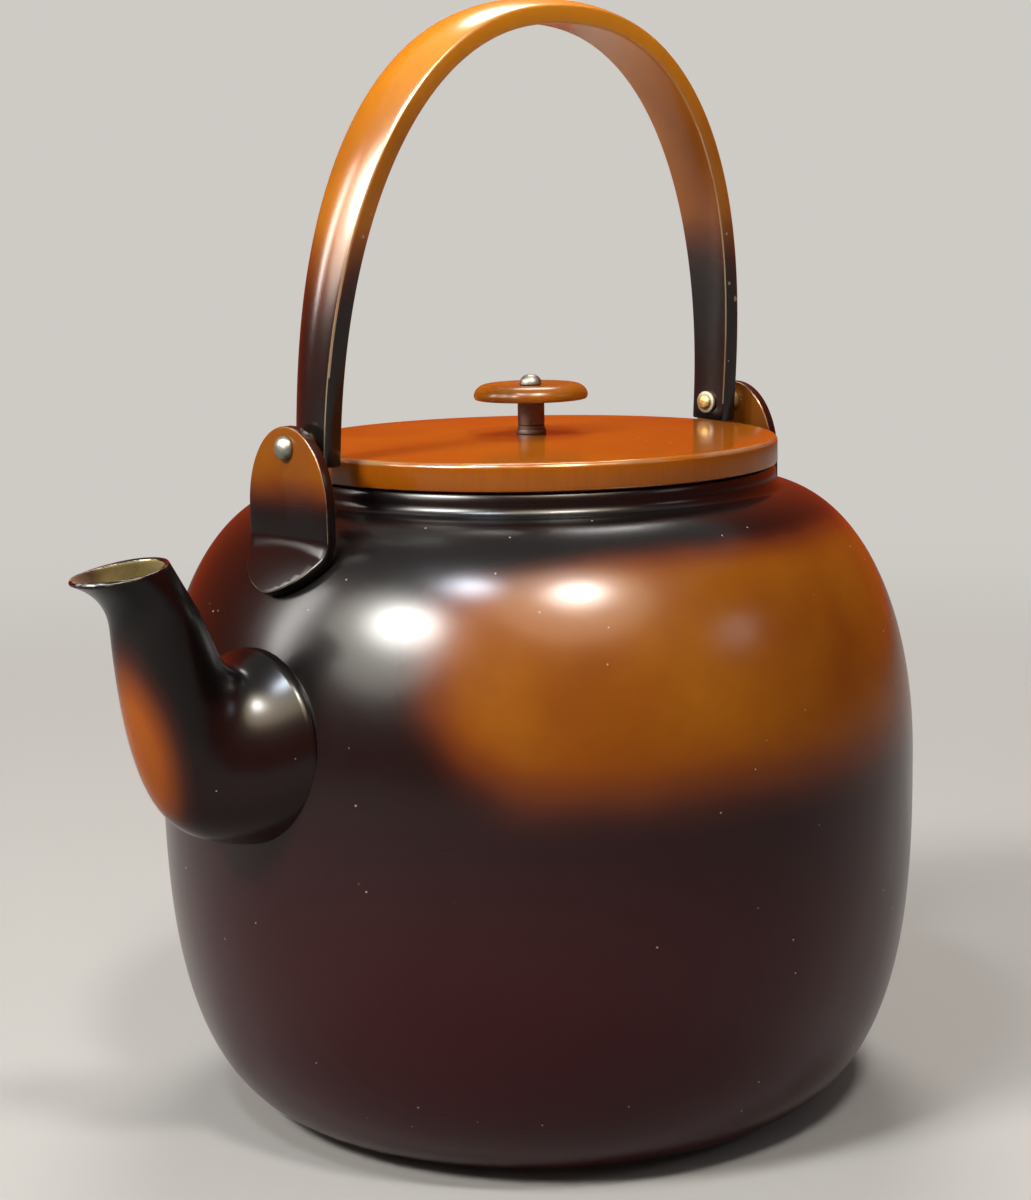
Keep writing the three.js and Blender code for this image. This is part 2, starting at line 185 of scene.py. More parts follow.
def piece_faces_inwards(piece: bpy.types.Object) -> bool:
    """Whether the faces of an open tube look at its inside, told by the space that they enclose."""
    mesh = bmesh.from_edit_mesh(piece.data)
    middle = sum((face.calc_center_median() for face in mesh.faces), Vector()) / len(mesh.faces)
    outwards = 0.0
    for face in mesh.faces:
        outwards += face.normal.dot(face.calc_center_median() - middle) * face.calc_area()
    return outwards < 0


def spun(name: str, profile: Sequence[Point], steps: int = 64, ring: bool = False) -> bpy.types.Object:
    """Adds a round piece about Z: its profile is drawn point by point and spun.

    Args:
        name: the piece's name.
        profile: radius and height of each point, counterclockwise round the section.
        steps: how many steps make the round.
        ring: whether the profile closes on itself rather than on the axis.

    Returns:
        The closed piece.
    """
    points = [Vector((radius, 0, height)) * MM for radius, height in profile]
    piece = start_point(name, points[0])
    draw_on(points[0], points[1:] + (points[:1] if ring else []))
    bpy.ops.mesh.select_all(action="SELECT")
    bpy.ops.mesh.spin(steps=steps, angle=2 * math.pi, center=(0, 0, 0), axis=(0, 0, 1))
    merge_doubles()
    close_piece()
    return piece


def modify(piece: bpy.types.Object, kind: str, **settings: object) -> None:
    """Adds a modifier with its settings and applies it."""
    take(piece)
    modifier = piece.modifiers.new(kind.lower(), kind)
    for setting, value in settings.items():
        setattr(modifier, setting, value)
    bpy.ops.object.modifier_apply(modifier=modifier.name)


def cut(piece: bpy.types.Object, tool: bpy.types.Object) -> None:
    """Cuts a piece with a tool, which is then thrown away."""
    modify(piece, "BOOLEAN", operation="DIFFERENCE", object=tool, solver="EXACT")
    bpy.data.objects.remove(tool)


def drill(radius: float, reach: Point, height: float) -> bpy.types.Object:
    """Makes a drill that lies along X.

    Args:
        radius: of the hole.
        reach: the drill's two ends along X.
        height: above the floor.

    Returns:
        The drill, ready for cut().
    """
    deselect()
    middle = Vector((sum(reach) / 2, 0, height)) * MM
    length = (reach[1] - reach[0]) * MM
    bpy.ops.mesh.primitive_cylinder_add(vertices=DRILL_SIDES, radius=radius * MM, depth=length,
                                        location=middle, rotation=(0, math.pi / 2, 0))
    tool = bpy.context.active_object
    bpy.ops.object.transform_apply(location=True, rotation=True, scale=True)
    return tool


def select_edges(piece: bpy.types.Object, test: Callable[[Vector, float], bool]) -> None:
    """Opens a piece and selects its edges by place and sharpness.

    Args:
        piece: the piece.
        test: is given an edge's middle in millimetres and the angle between its faces.
    """
    open_piece(piece)
    bpy.ops.mesh.select_mode(type="EDGE")
    bpy.ops.mesh.select_all(action="DESELECT")
    mesh = bmesh.from_edit_mesh(piece.data)
    for edge in mesh.edges:
        middle = (edge.verts[0].co + edge.verts[1].co) / (2 * MM)
        edge.select_set(test(middle, edge.calc_face_angle(0.0)))
    bmesh.update_edit_mesh(piece.data)


def ease(piece: bpy.types.Object, width: float, test: Callable[[Vector, float], bool],
         side: Optional[Vector] = None, steps: int = 3) -> list[Vector]:
    """Rounds the edges that a test picks.

    Args:
        piece: the piece.
        width: of the rounding.
        test: as for select_edges.
        side: the normal of one of the two faces that meet there. With it, only the middle strip counts.
        steps: how many faces make the rounding.

    Returns:
        The middles of the rounding's faces, in metres.
    """
    select_edges(piece, test)
    bpy.ops.mesh.bevel(offset=width * MM, offset_type="OFFSET", segments=steps, affect="EDGES",
                       clamp_overlap=True)
    mesh = bmesh.from_edit_mesh(piece.data)
    low, high = MIDDLE_STRIP
    middles = [face.calc_center_median() for face in mesh.faces if face.select and len(face.verts) == 4
               and (side is None or low < abs(face.normal.dot(side)) < high)]
    close_piece()
    return middles


def mark_faces(piece: bpy.types.Object, name: str, middles: Iterable[Vector]) -> None:
    """Marks faces by their middles in an attribute that a finish can read.

    Args:
        piece: the piece.
        name: the attribute's name.
        middles: the middles of the faces that are marked.
    """
    keys = {tuple(round(value / DOUBLE) for value in middle) for middle in middles}
    mark = piece.data.attributes.new(name, "FLOAT", "FACE")
    for face, value in zip(piece.data.polygons, mark.data):
        centre = sum((piece.data.vertices[i].co for i in face.vertices), Vector()) / len(face.vertices)
        value.value = float(tuple(round(part / DOUBLE) for part in centre) in keys)


def smooth(piece: bpy.types.Object, degrees: float = 32) -> None:
    """Shades a piece smooth, apart from edges that are sharper than an angle."""
    take(piece)
    bpy.ops.object.shade_smooth_by_angle(angle=math.radians(degrees))


def copy_turned(piece: bpy.types.Object, name: str, degrees: float) -> bpy.types.Object:
    """Copies a piece with its own mesh and turns the copy about Z."""
    take(piece)
    bpy.ops.object.duplicate()
    twin = bpy.context.active_object
    twin.name = name
    twin.data.name = name
    open_piece(twin)
    turn(math.radians(degrees), "Z", Vector())
    close_piece()
    return twin


def settle(piece: bpy.types.Object, node: str, carrier: Carrier) -> None:
    """Gives a finished piece its place in the frame.

    Args:
        piece: the piece.
        node: the frame's node that it stands for.
        carrier: the body that it rides on.
    """
    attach(piece, carrier.value)
    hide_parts(node)
    log.info("%s stands for %s: %d faces", piece.name, node, len(piece.data.polygons))


def paint(piece: bpy.types.Object, *materials: bpy.types.Material) -> None:
    """Gives a piece its materials, in the order of its faces' material numbers."""
    piece.data.materials.clear()
    for material in materials:
        piece.data.materials.append(material)


def superellipse(angle: float, fullness: float) -> Point:
    """A quarter superellipse: the shares across and up at an angle from 0 to a right angle."""
    return max(math.cos(angle), 0) ** (2 / fullness), max(math.sin(angle), 0) ** (2 / fullness)


def quarter(fullness: float, steps: int, stop: float = 0) -> list[Point]:
    """Points of a quarter superellipse, from the outside up, as far as a share across at which it stops."""
    whole = math.acos(stop ** (fullness / 2))
    return [superellipse(whole * i / steps, fullness) for i in range(steps + 1)]


def rounded(radius: float, height: float, run: float, rise: float, steps: int) -> list[Point]:
    """The profile of a rounded edge.

    Args:
        radius: where it starts, at its lower end.
        height: where it ends, at its inner end.
        run: how far it goes inwards.
        rise: how far it goes up.
        steps: how many steps make it.

    Returns:
        Radius and height of each point, from the lower end up.
    """
    return [(radius - run * (1 - across), height - rise * (1 - up)) for across, up in quarter(2, steps)]


def bezier(points: Sequence[Vector], share: float) -> Vector:
    """Finds a point of a Bezier curve of any degree."""
    while len(points) > 1:
        points = [a.lerp(b, share) for a, b in zip(points, points[1:])]
    return points[0]


def smoothstep(low: float, high: float, value: float) -> float:
    """Rises smoothly from 0 at low to 1 at high."""
    share = min(max((value - low) / (high - low), 0), 1)
    return share * share * (3 - 2 * share)


# Shader tools

Number = Union[float, "Shade"]


class Shade:
    """A number that varies over a surface, with arithmetic that adds Math nodes."""

    def __init__(self, palette: "Palette", socket: bpy.types.NodeSocket) -> None:
        """Wraps a socket of a palette's node tree."""
        self.palette = palette
        self.socket = socket

    def _math(self, operation: str, *values: Number) -> "Shade":
        """Adds one Math node."""
        node = self.palette.node("ShaderNodeMath", {"operation": operation}, dict(enumerate(values)))
        return Shade(self.palette, node.outputs[0])

    def __add__(self, other: Number) -> "Shade":
        """Adds."""
        return self._math("ADD", self, other)

    __radd__ = __add__

    def __sub__(self, other: Number) -> "Shade":
        """Takes other away."""
        return self._math("SUBTRACT", self, other)

    def __rsub__(self, other: Number) -> "Shade":
        """Is taken away from other."""
        return self._math("SUBTRACT", other, self)

    def __mul__(self, other: Number) -> "Shade":
        """Multiplies."""
        return self._math("MULTIPLY", self, other)

    __rmul__ = __mul__

    def __truediv__(self, other: Number) -> "Shade":
        """Divides by other."""
        return self._math("DIVIDE", self, other)

    def __pow__(self, other: Number) -> "Shade":
        """Raises to a power."""
        return self._math("POWER", self, other)

    def __abs__(self) -> "Shade":
        """Drops the sign."""
        return self._math("ABSOLUTE", self)

    def heading(self, other: "Shade") -> "Shade":
        """The angle in radians of the point whose height is this number and whose run is other."""
        return self._math("ARCTAN2", self, other)

    def over(self, other: Number) -> "Shade":
        """The larger of the two."""
        return self._math("MAXIMUM", self, other)

    def rise(self, low: float, high: float) -> "Shade":
        """Rises smoothly from 0 where the number is low to 1 where it is high."""
        node = self.palette.node("ShaderNodeMapRange", {"interpolation_type": "SMOOTHSTEP"},
                                 {"Value": self, "From Min": low, "From Max": high})
        return Shade(self.palette, node.outputs["Result"])

    def fall(self, low: float, high: float) -> "Shade":
        """Falls smoothly from 1 where the number is low to 0 where it is high."""
        return 1 - self.rise(low, high)


class Palette:
    """One material's node tree, with its coordinates in millimetres."""

    def __init__(self, name: str) -> None:
        """Makes the material and its shader."""
        self.material = bpy.data.materials.new(name)
        self.material.use_nodes = True
        self.tree = self.material.node_tree
        self.shader = self.tree.nodes["Principled BSDF"]
        place = self.node("ShaderNodeTexCoord", {}, {})
        scaled = self.node("ShaderNodeVectorMath", {"operation": "SCALE"},
                           {"Vector": place.outputs["Object"], "Scale": 1 / MM})
        self.place = scaled.outputs["Vector"]
        self.x, self.y, self.z = self.parts(self.place)
        self.radius = (self.x ** 2 + self.y ** 2) ** 0.5

    def node(self, kind: str, settings: dict[str, object], sockets: dict[object, object]) -> bpy.types.Node:
        """Adds any node.

        Args:
            kind: the node's type.
            settings: its properties, set first.
            sockets: the values or links of its inputs, by name or number.

        Returns:
            The node.
        """
        node = self.tree.nodes.new(kind)
        for setting, value in settings.items():
            setattr(node, setting, value)
        for key, value in sockets.items():
            if isinstance(value, Shade):
                value = value.socket
            if isinstance(value, bpy.types.NodeSocket):
                self.tree.links.new(value, node.inputs[key])
            else:
                node.inputs[key].default_value = value
        return node

    def parts(self, vector: bpy.types.NodeSocket) -> tuple[Shade, Shade, Shade]:
        """The three numbers of a vector."""
        node = self.node("ShaderNodeSeparateXYZ", {}, {0: vector})
        return tuple(Shade(self, node.outputs[i]) for i in range(3))

    def noise(self, size: float, detail: float = 2, roughness: float = 0.5,
              stretch: Colour = (1, 1, 1)) -> Shade:
        """Soft noise from about -1 to 1.

        Args:
            size: of its blotches.
            detail: how many finer layers it has.
            roughness: how strong the finer layers are.
            stretch: scales the place, so that a low number draws the blotches out along an axis.

        Returns:
            The noise.
        """
        node = self.node("ShaderNodeTexNoise", {}, {"Vector": self.stretched(stretch), "Scale": 1 / size,
                                                    "Detail": detail, "Roughness": roughness})
        return (Shade(self, node.outputs[0]) - 0.5) * NOISE_GAIN

    def stretched(self, stretch: Colour, turned: Colour = (0, 0, 0)) -> bpy.types.NodeSocket:
        """The place, turned by some degrees and then scaled along each axis."""
        if stretch == (1, 1, 1) and turned == (0, 0, 0):
            return self.place
        angles = tuple(math.radians(angle) for angle in turned)
        node = self.node("ShaderNodeMapping", {},
                         {"Vector": self.place, "Rotation": angles, "Scale": stretch})
        return node.outputs["Vector"]

    def specks(self, every: float, radius: float, stretch: Colour = (1, 1, 1),
               turned: Colour = (0, 0, 0)) -> Shade:
        """Sparse dots or, drawn out along an axis, scratches: 1 on them and 0 beside them.

        Args:
            every: how far apart they are in space. Few of them touch the surface.
            radius: of the largest.
            stretch: as for noise.
            turned: degrees by which they lie askew.

        Returns:
            The mask.
        """
        node = self.node("ShaderNodeTexVoronoi", {},
                         {"Vector": self.stretched(stretch, turned), "Scale": 1 / every})
        return (Shade(self, node.outputs["Distance"]) * every).fall(radius * SPECK_CORE, radius)

    def spot(self, place: Colour, radius: float) -> Shade:
        """One ragged chip at a place."""
        away = self.node("ShaderNodeVectorMath", {"operation": "DISTANCE"}, {0: self.place, 1: place})
        distance = Shade(self, away.outputs["Value"]) + self.noise(CHIP_GRAIN) * radius * CHIP_RAGGED
        return distance.fall(radius * CHIP_CORE, radius)

    def mark(self, name: str) -> Shade:
        """A mesh attribute of the piece."""
        node = self.node("ShaderNodeAttribute", {"attribute_name": name}, {})
        return Shade(self, node.outputs["Fac"])

    def mix(self, share: Number, below: object, above: object) -> bpy.types.NodeSocket:
        """Lays one colour over another by a share."""
        colours = [(*c, 1) if isinstance(c, tuple) else c for c in (below, above)]
        node = self.node("ShaderNodeMix", {"data_type": "RGBA"}, {0: share, 6: colours[0], 7: colours[1]})
        return node.outputs[2]

    def bump(self, height: Shade, depth: float) -> bpy.types.NodeSocket:
        """Turns a height from 0 to 1 into a relief that is some millimetres deep."""
        node = self.node("ShaderNodeBump", {}, {"Height": height, "Distance": depth * MM, "Strength": 1.0})
        return node.outputs["Normal"]

    def shade(self, **sockets: object) -> bpy.types.Material:
        """Sets or links the shader's sockets, named with _ for a space, and hands over the material."""
        for name, value in sockets.items():
            socket = self.shader.inputs[name.replace("_", " ").title().replace("Ior", "IOR")]
            if isinstance(value, Shade):
                value = value.socket
            if isinstance(value, bpy.types.NodeSocket):
                self.tree.links.new(value, socket)
            elif isinstance(value, tuple):
                socket.default_value = (*value, 1)
            else:
                socket.default_value = value
        return self.material


# Finishes

MaskMaker = Callable[[Palette], Number]


def no_mask(palette: Palette) -> Number:
    """Marks nothing."""
    return 0.0


@dataclass(frozen=True)
class Lacquer:
    """The gloss finish: amber that fades through brown to black, and is rubbed to the brass in places. Low
    down its black turns maroon, which is a painted reflection.
    """

    amber: Colour = (0.225, 0.071, 0.003)
    deep_amber: Colour = (0.155, 0.037, 0.0025)
    brown: Colour = (0.062, 0.012, 0.004)
    black: Colour = (0.0035, 0.0022, 0.0022)
    # Painted reflection: the black turns maroon towards the bottom, between the two heights that follow.
    painted_reflection_black: Colour = (0.023, 0.0012, 0.0026)
    low_from: float = 105
    low_to: float = 40
    gloss: float = 0.2
    peel_depth: float = 0.004
    brass: Colour = (0.52, 0.43, 0.27)
    dust: Colour = (0.30, 0.26, 0.20)
    roughness: float = 0.235
    dusty: float = 1.0
    # Painted light: an optional paler amber over a band of heights, where a top faces the light.
    painted_light_amber: Optional[Colour] = None
    painted_light_span: Point = (204, 238)
    tone_size: float = 34
    cloud_size: float = 5
    clouding: float = 0.16
    spots: Point = (6, 0.24)
    hairs: tuple[float, float, Colour, Colour] = (13, 0.09, (1, 1, 0.09), (24, 38, 0))
    long_hairs: tuple[float, float, Colour, Colour] = (26, 0.07, (0.03, 1, 1), (0, 30, 52))
    hair_strength: float = 0.7
    long_hair_strength: float = 0.5
    smear_size: float = 26
    smearing: float = 0.09
    dirt_roughness: float = 0.25
    dirt_relief: float = 0.8
    peel_size: float = 2.6

    def material(self, name: str, window: MaskMaker, bare: MaskMaker = no_mask) -> bpy.types.Material:
        """Makes the finish for one piece.

        Args:
            name: the material's name.
            window: where it is amber: 1 there and 0 where it is black.
            bare: where it is rubbed down to the brass.

        Returns:
            The material.
        """
        palette = Palette(name)
        light = window(palette)
        tone = palette.mix(palette.noise(self.tone_size, 3).rise(-0.9, 0.9), self.amber, self.deep_amber)
        # Painted reflection: the black is mixed towards maroon lower down.
        dark = palette.mix(palette.z.rise(self.low_to, self.low_from), self.painted_reflection_black, self.black)
        warm = palette.mix(light.rise(0.0, 0.45), dark, self.brown)
        faded = palette.mix(light.rise(0.2, 0.8), warm, self.deep_amber)
        coloured = palette.mix(light.rise(0.5, 1.0), faded, tone)
        # Painted light: the paler amber laid over its band of heights.
        if self.painted_light_amber:
            coloured = palette.mix(palette.z.rise(*self.painted_light_span), coloured, self.painted_light_amber)
        patches = palette.noise(self.cloud_size, 4, 0.6).rise(-1.5, 1.8)
        clouds = patches * light.rise(0.1, 0.6) * self.clouding
        clouded = palette.mix(clouds, coloured, self.brown)
        spots = palette.specks(*self.spots)
        hairs = palette.specks(*self.hairs) * self.hair_strength
        long_hairs = palette.specks(*self.long_hairs) * self.long_hair_strength
        dirt = spots.over(hairs).over(long_hairs) * self.dusty
        dusted = palette.mix(dirt, clouded, self.dust)
        rubbed = bare(palette)
        worn = palette.mix(rubbed, dusted, self.brass)
        smears = palette.noise(self.smear_size, 4, 0.65, (1, 1, 0.5)).rise(-1.4, 1.6)
        rough = smears * self.smearing + (self.roughness - self.smearing / 2) + dirt * self.dirt_roughness
        peel = palette.noise(self.peel_size) * 0.5 + 0.5
        relief = palette.bump(peel - dirt * self.dirt_relief, self.peel_depth)
        return palette.shade(base_color=worn, roughness=rough, metallic=rubbed * 1.0,
                             specular_ior_level=self.gloss, normal=relief)


@dataclass(frozen=True)
class BareMetal:
    """Plain metal, tarnished in blotches and finely scratched."""

    colour: Colour
    tarnish: Colour
    roughness: float = 0.34
    blotch: float = 2.5
    tarnished: float = 0.6
    relief: float = 0.03

    def material(self, name: str) -> bpy.types.Material:
        """Makes the finish."""
        palette = Palette(name)
        stain = palette.noise(self.blotch, 4, 0.65).rise(-1.1, 1.0)
        scratch = palette.noise(0.35, 3, 0.7, (1, 1, 0.12))
        colour = palette.mix(stain * self.tarnished, self.colour, self.tarnish)
        return palette.shade(base_color=colour, metallic=1.0, roughness=stain * 0.2 + self.roughness,
                             normal=palette.bump(scratch * 0.3 + stain, self.relief))


STEEL = BareMetal((0.21, 0.22, 0.185), (0.07, 0.07, 0.06))
GREY_WASHER = BareMetal((0.34, 0.33, 0.26), (0.14, 0.14, 0.105), roughness=0.4)
BRASS_WASHER = BareMetal((0.56, 0.44, 0.22), (0.20, 0.15, 0.08), roughness=0.36)
BRONZE = BareMetal((0.17, 0.125, 0.105), (0.07, 0.05, 0.042), roughness=0.36, tarnished=0.8)
INNER_BRASS = BareMetal((0.58, 0.50, 0.23), (0.14, 0.12, 0.06), roughness=0.38, blotch=7, tarnished=0.8)
INNER_COPPER = BareMetal((0.48, 0.33, 0.20), (0.17, 0.11, 0.07), roughness=0.42, blotch=14, tarnished=0.7)


# The kettle's parts


@dataclass
class Body:
    """The spun shell: base, belly, shoulder, and a short neck with a rounded lip."""

    neck_radius: float = 53.0
    neck_stand: float = 4.7
    neck_fillet: float = 1.6
    lip_run: float = 1.0
    lip_fall: float = 2.2
    soft_fillet: float = 2.5
    crown_radius: float = 49.8
    shoulder_fullness: float = 2.12
    belly_height: float = 76.0
    belly_fullness: float = 2.75
    base_radius: float = 46.5
    wall: float = 1.2
    pour_hole: float = 13.5
    pour_height: float = 90.0
    steps: int = 160
    outer_steps: int = 44
    inner_steps: int = 24
    window_side: Point = (22.5, 41)
    window_foot: Point = (72.0, 101)
    window_top: Point = (61.5, 73)
    corner: Point = (80, 106)
    corner_cut: float = 7
    far_side_later: float = 27
    spout_side: Point = (30, 68)
    spout_side_lower: float = 4
    back_angle: Point = (140, 176)
    back_height: Point = (96, 124)
    back_fade: float = 0.55
    base_margin: Point = (75, 77)
    belly_radius: float = field(init=False)
    neck_height: float = field(init=False)
    crown_rise: float = field(init=False)

    def __post_init__(self) -> None:
        """Takes the outer sizes from the frame."""
        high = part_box("body")[1] / MM
        self.belly_radius, self.neck_height = high.x, high.z
        foot = self.neck_height - self.neck_stand
        foot_radius = self.neck_radius + self.neck_fillet
        reach = (foot_radius - self.crown_radius) / (self.belly_radius - self.crown_radius)
        share = (1 - reach ** self.shoulder_fullness) ** (1 / self.shoulder_fullness)
        self.crown_rise = (foot - self.belly_height) / share

    def shoulder(self, radius: float) -> float:
        """The shoulder's height at a radius."""
        reach = min(max((radius - self.crown_radius) / (self.belly_radius - self.crown_radius), 0), 1)
        share = (1 - reach ** self.shoulder_fullness) ** (1 / self.shoulder_fullness)
        return self.belly_height + self.crown_rise * share

    def outline(self, inset: float, steps: int, stop_radius: float) -> list[Point]:
        """The profile from the base's middle up to a radius, moved inwards by an inset."""
        belly = self.belly_radius - inset - self.base_radius
        crown = self.belly_radius - inset - self.crown_radius
        stop = max(stop_radius - self.crown_radius, 0) / crown
        drop, lift = self.belly_height - inset, self.crown_rise - inset
        lower = [(self.base_radius + belly * across, self.belly_height - drop * up)
                 for across, up in reversed(quarter(self.belly_fullness, steps))]
        upper = [(self.crown_radius + crown * across, self.belly_height + lift * up)
                 for across, up in quarter(self.shoulder_fullness, steps, stop)[1:]]
        return [(0, inset), *lower, *upper]

    def profile(self) -> list[Point]:
        """The whole section: up the outside, over the lip and down the inside."""
        foot_radius = self.neck_radius + self.soft_fillet
        foot = self.shoulder(foot_radius)
        fillet = [(foot_radius - self.soft_fillet * up, foot + self.soft_fillet * (1 - across))
                  for across, up in quarter(2, 10)[1:]]
        outer = rounded(self.neck_radius, self.neck_height, self.lip_run, self.lip_fall, 8)
        soft = self.wall - self.lip_run
        inner = [(self.neck_radius - self.wall + soft * (1 - across), self.neck_height - soft * (1 - up))
                 for across, up in reversed(quarter(2, 4)[:-1])]
        inside = self.outline(self.wall, self.inner_steps, self.neck_radius - self.wall)
        outside = self.outline(0, self.outer_steps, foot_radius)
        return [*outside, *fillet, *outer, *inner, *reversed(inside)]

    def block(self, gap: float) -> bpy.types.Object:
        """A solid of the body's outside, grown by a gap, that cuts what stands on it."""
        crown = self.belly_height + self.crown_rise + gap
        outside = self.outline(-gap, self.outer_steps, self.crown_radius)
        return spun("body_block", [*outside, (0, crown)], self.steps)

    def depth(self, place: Vector) -> float:
        """How far a point lies from the outer surface, negative inside, near enough for picking edges."""
        radius = math.hypot(place.x, place.y)
        low = place.z < self.belly_height
        half = self.belly_radius - (self.base_radius if low else self.crown_radius)
        rise = self.belly_height if low else self.crown_rise
        fullness = self.belly_fullness if low else self.shoulder_fullness
        up = min(abs(place.z - self.belly_height) / rise, 1)
        return radius - (self.belly_radius - half * (1 - (1 - up ** fullness) ** (1 / fullness)))

    def window(self, palette: Palette) -> Shade:
        """The amber on both flanks: clear of the spout, of the neck and of the lower half."""
        angle = abs(palette.y).heading(palette.x * -1) * math.degrees(1)
        drift = palette.noise(46)
        fine = palette.noise(15)
        corner = palette.z.fall(*self.corner) * self.corner_cut
        far_side = palette.y.rise(-4, 4) * self.far_side_later
        beside = (angle + drift * 1.6 + fine * 0.8 - corner - far_side).rise(*self.window_side)
        below = (palette.z + drift * 1.6 + fine * 0.7).rise(*self.window_foot)
        towards_spout = angle.fall(*self.spout_side) * self.spout_side_lower
        above = (palette.radius + drift * 0.8 + fine * 0.5 - towards_spout).rise(*self.window_top)
        behind = angle.rise(*self.back_angle) * palette.z.rise(*self.back_height) * self.back_fade
        lower = palette.z.fall(*self.base_margin)
        return beside * below * above.over(lower) * (1 - behind)

    def build(self) -> bpy.types.Object:
        """Models and finishes the shell, with its pouring hole behind the spout."""
        piece = spun("spun_body", self.profile(), self.steps)
        reach = (-1.5 * self.belly_radius, -self.belly_radius / 2)
        cut(piece, drill(self.pour_hole, reach, self.pour_height))
        middle = Vector((0, 0, self.belly_height * MM))
        for face in piece.data.polygons:
            face.material_index = int(face.normal.dot(face.center - middle) < 0)
        paint(piece, Lacquer().material("body_lacquer", self.window), INNER_COPPER.material("body_inside"))
        smooth(piece)
        settle(piece, "body", Carrier.KETTLE)
        return piece


@dataclass
class Spout:
    """A tube from a wide round root on the belly, up through a bend to a drawn-out oval mouth."""

    body: Body
    root_radius: float = 19.7
    root_inset: float = 3.0
    root_depth: float = 10.0
    reach: float = 19.6
    rise: float = 28.5
    taper_end: float = 0.73
    neck_radius: float = 8.7
    neck_tilt: float = 11.0
    keel: tuple[float, float, float, float] = (20.4, 2.2, 2.0, 36.0)
    crotch: tuple[float, float, float, float] = (8.6, 6.8, 6.2, 9.4)
    heel: Point = (6.2, 10.4)
    mouth_length: float = 20.2
    mouth_half_width: float = 8.2
    lip_drop: float = 3.5
    wall: float = 1.1
    seam_gap: float = 0.06
    seam_ease: float = 0.4
    rim_ease: float = 0.32
    stripe_middle: Point = (-107.5, 93)
    stripe_half: tuple[float, float, float] = (12.5, 11.5, 27)
    stripe_lean: float = 0.2
    # Painted shade inside the spout towards the lip: its colour and its span along X.
    painted_lip_shade: Colour = (0.07, 0.04, 0.026)
    painted_lip_shade_span: Point = (-111, -104)
    sides: int = 64
    tube_steps: int = 48
    mouth_steps: int = 14

    def outlines(self) -> tuple[list[Vector], list[Vector], list[Vector], list[Vector]]:
        """The front and back lines in the plane of symmetry, as Bezier points of x and z.

        Returns:
            The keel and the crotch, from the root to the neck, and the lip and the heel, from the neck on.
        """
        root_x = self.root_inset - self.body.belly_radius
        height = self.body.pour_height
        tilt = math.radians(self.neck_tilt)
        neck = Vector((-self.body.belly_radius - self.reach, height + self.rise))
        half = Vector((-math.cos(tilt), -math.sin(tilt))) * self.neck_radius
        front, back = neck + half, neck - half
        low, high = Vector((root_x, height - self.root_radius)), Vector((root_x, height + self.root_radius))
        run, lift, lean, drop = self.keel
        keel = [low, low + Vector((-run, lift)), front + Vector((lean, -drop)), front]
        run, dip, lean, drop = self.crotch
        crotch = [high, high - Vector((run, dip)), back + Vector((lean, -drop)), back]
        heel = back + Vector((-self.heel[0], self.heel[1]))
        lip = heel - Vector((self.mouth_length, self.lip_drop))
        return keel, crotch, self._onward(keel, lip), self._onward(crotch, heel)

    def _onward(self, curve: list[Vector], end: Vector) -> list[Vector]:
        """A curve that goes on from another one's end, in its direction, to an end of its own."""
        start = curve[-1]
        way = (start - curve[-2]).normalized()
        return [start, start + way * ((end - start).length / 2), end]

    def stations(self) -> list[tuple[Vector, Vector, float]]:
        """The tube's rings: front point, back point and half width of each, from the root to the mouth."""
        keel, crotch, lip, heel = self.outlines()
        rings = []
        for i in range(self.tube_steps + 1):
            share = i / self.tube_steps
            taper = math.sin(math.pi / 2 * min(share / self.taper_end, 1))
            half = self.root_radius + (self.neck_radius - self.root_radius) * taper
            rings.append((bezier(keel, share), bezier(crotch, share), half))
        inward = Vector((self.root_depth, 0))
        rings.insert(0, (rings[0][0] + inward, rings[0][1] + inward, self.root_radius))
        for i in range(1, self.mouth_steps + 1):
            share = i / self.mouth_steps
            half = self.neck_radius + (self.mouth_half_width - self.neck_radius) * share
            rings.append((bezier(lip, share), bezier(heel, share), half))
        return rings

    def tube(self) -> bpy.types.Object:
        """Draws the outer skin: a circle that is extruded from ring to ring, laid flat, sized and tilted."""
        deselect()
        bpy.ops.mesh.primitive_circle_add(vertices=self.sides, radius=MM)
        piece = bpy.context.active_object
        piece.name = "pouring_spout"
        piece.data.name = "pouring_spout"
        open_piece(piece)
        place, tilt, sizes = Vector(), 0.0, (1.0, 1.0)
        for i, (front, back, half_width) in enumerate(self.stations()):
            middle = (front + back) / 2
            half = (front - back) / 2
            target = Vector((middle.x, 0, middle.y)) * MM
            if i:
                bpy.ops.mesh.extrude_region_move(TRANSFORM_OT_translate={"value": target - place})
            else:
                move(target - place)
            turn(-tilt, "Y", target)
            growth = (half.length / sizes[0], half_width / sizes[1], 1)
            bpy.ops.transform.resize(value=growth, center_override=target)
            tilt = math.atan2(half.y, -half.x)
            turn(tilt, "Y", target)
            place, sizes = target, (half.length, half_width)
        merge_doubles()
        if piece_faces_inwards(piece):
            bpy.ops.mesh.flip_normals()
        close_piece()
        return piece

    def stripe(self, palette: Palette) -> Shade:
        """The amber streak down the front of the bend."""
        drift = palette.noise(18)
        middle_x, middle_z = self.stripe_middle
        half_x, half_y, half_z = self.stripe_half
        along = (palette.z - middle_z + drift * 1.5) / half_z
        across = (palette.y + drift * 0.7) / half_y
        ahead = (palette.x - middle_x + (palette.z - middle_z) * self.stripe_lean) / half_x
        return ((along ** 2 + across ** 2 + ahead ** 2) ** 0.5).fall(0.1, 1.08) * 0.9

    def rubbed(self, palette: Palette) -> Shade:
        """The eased edges of the root and the rim, rubbed bare in places."""
        patches = palette.noise(4.5, 3, 0.6).rise(-1.3, 0.0)
        seam = palette.mark("seam") * palette.z.rise(78, 94) * patches
        rim = palette.mark("rim") * palette.noise(4, 3).rise(-0.3, 0.9) * 0.6
        return seam.over(rim)

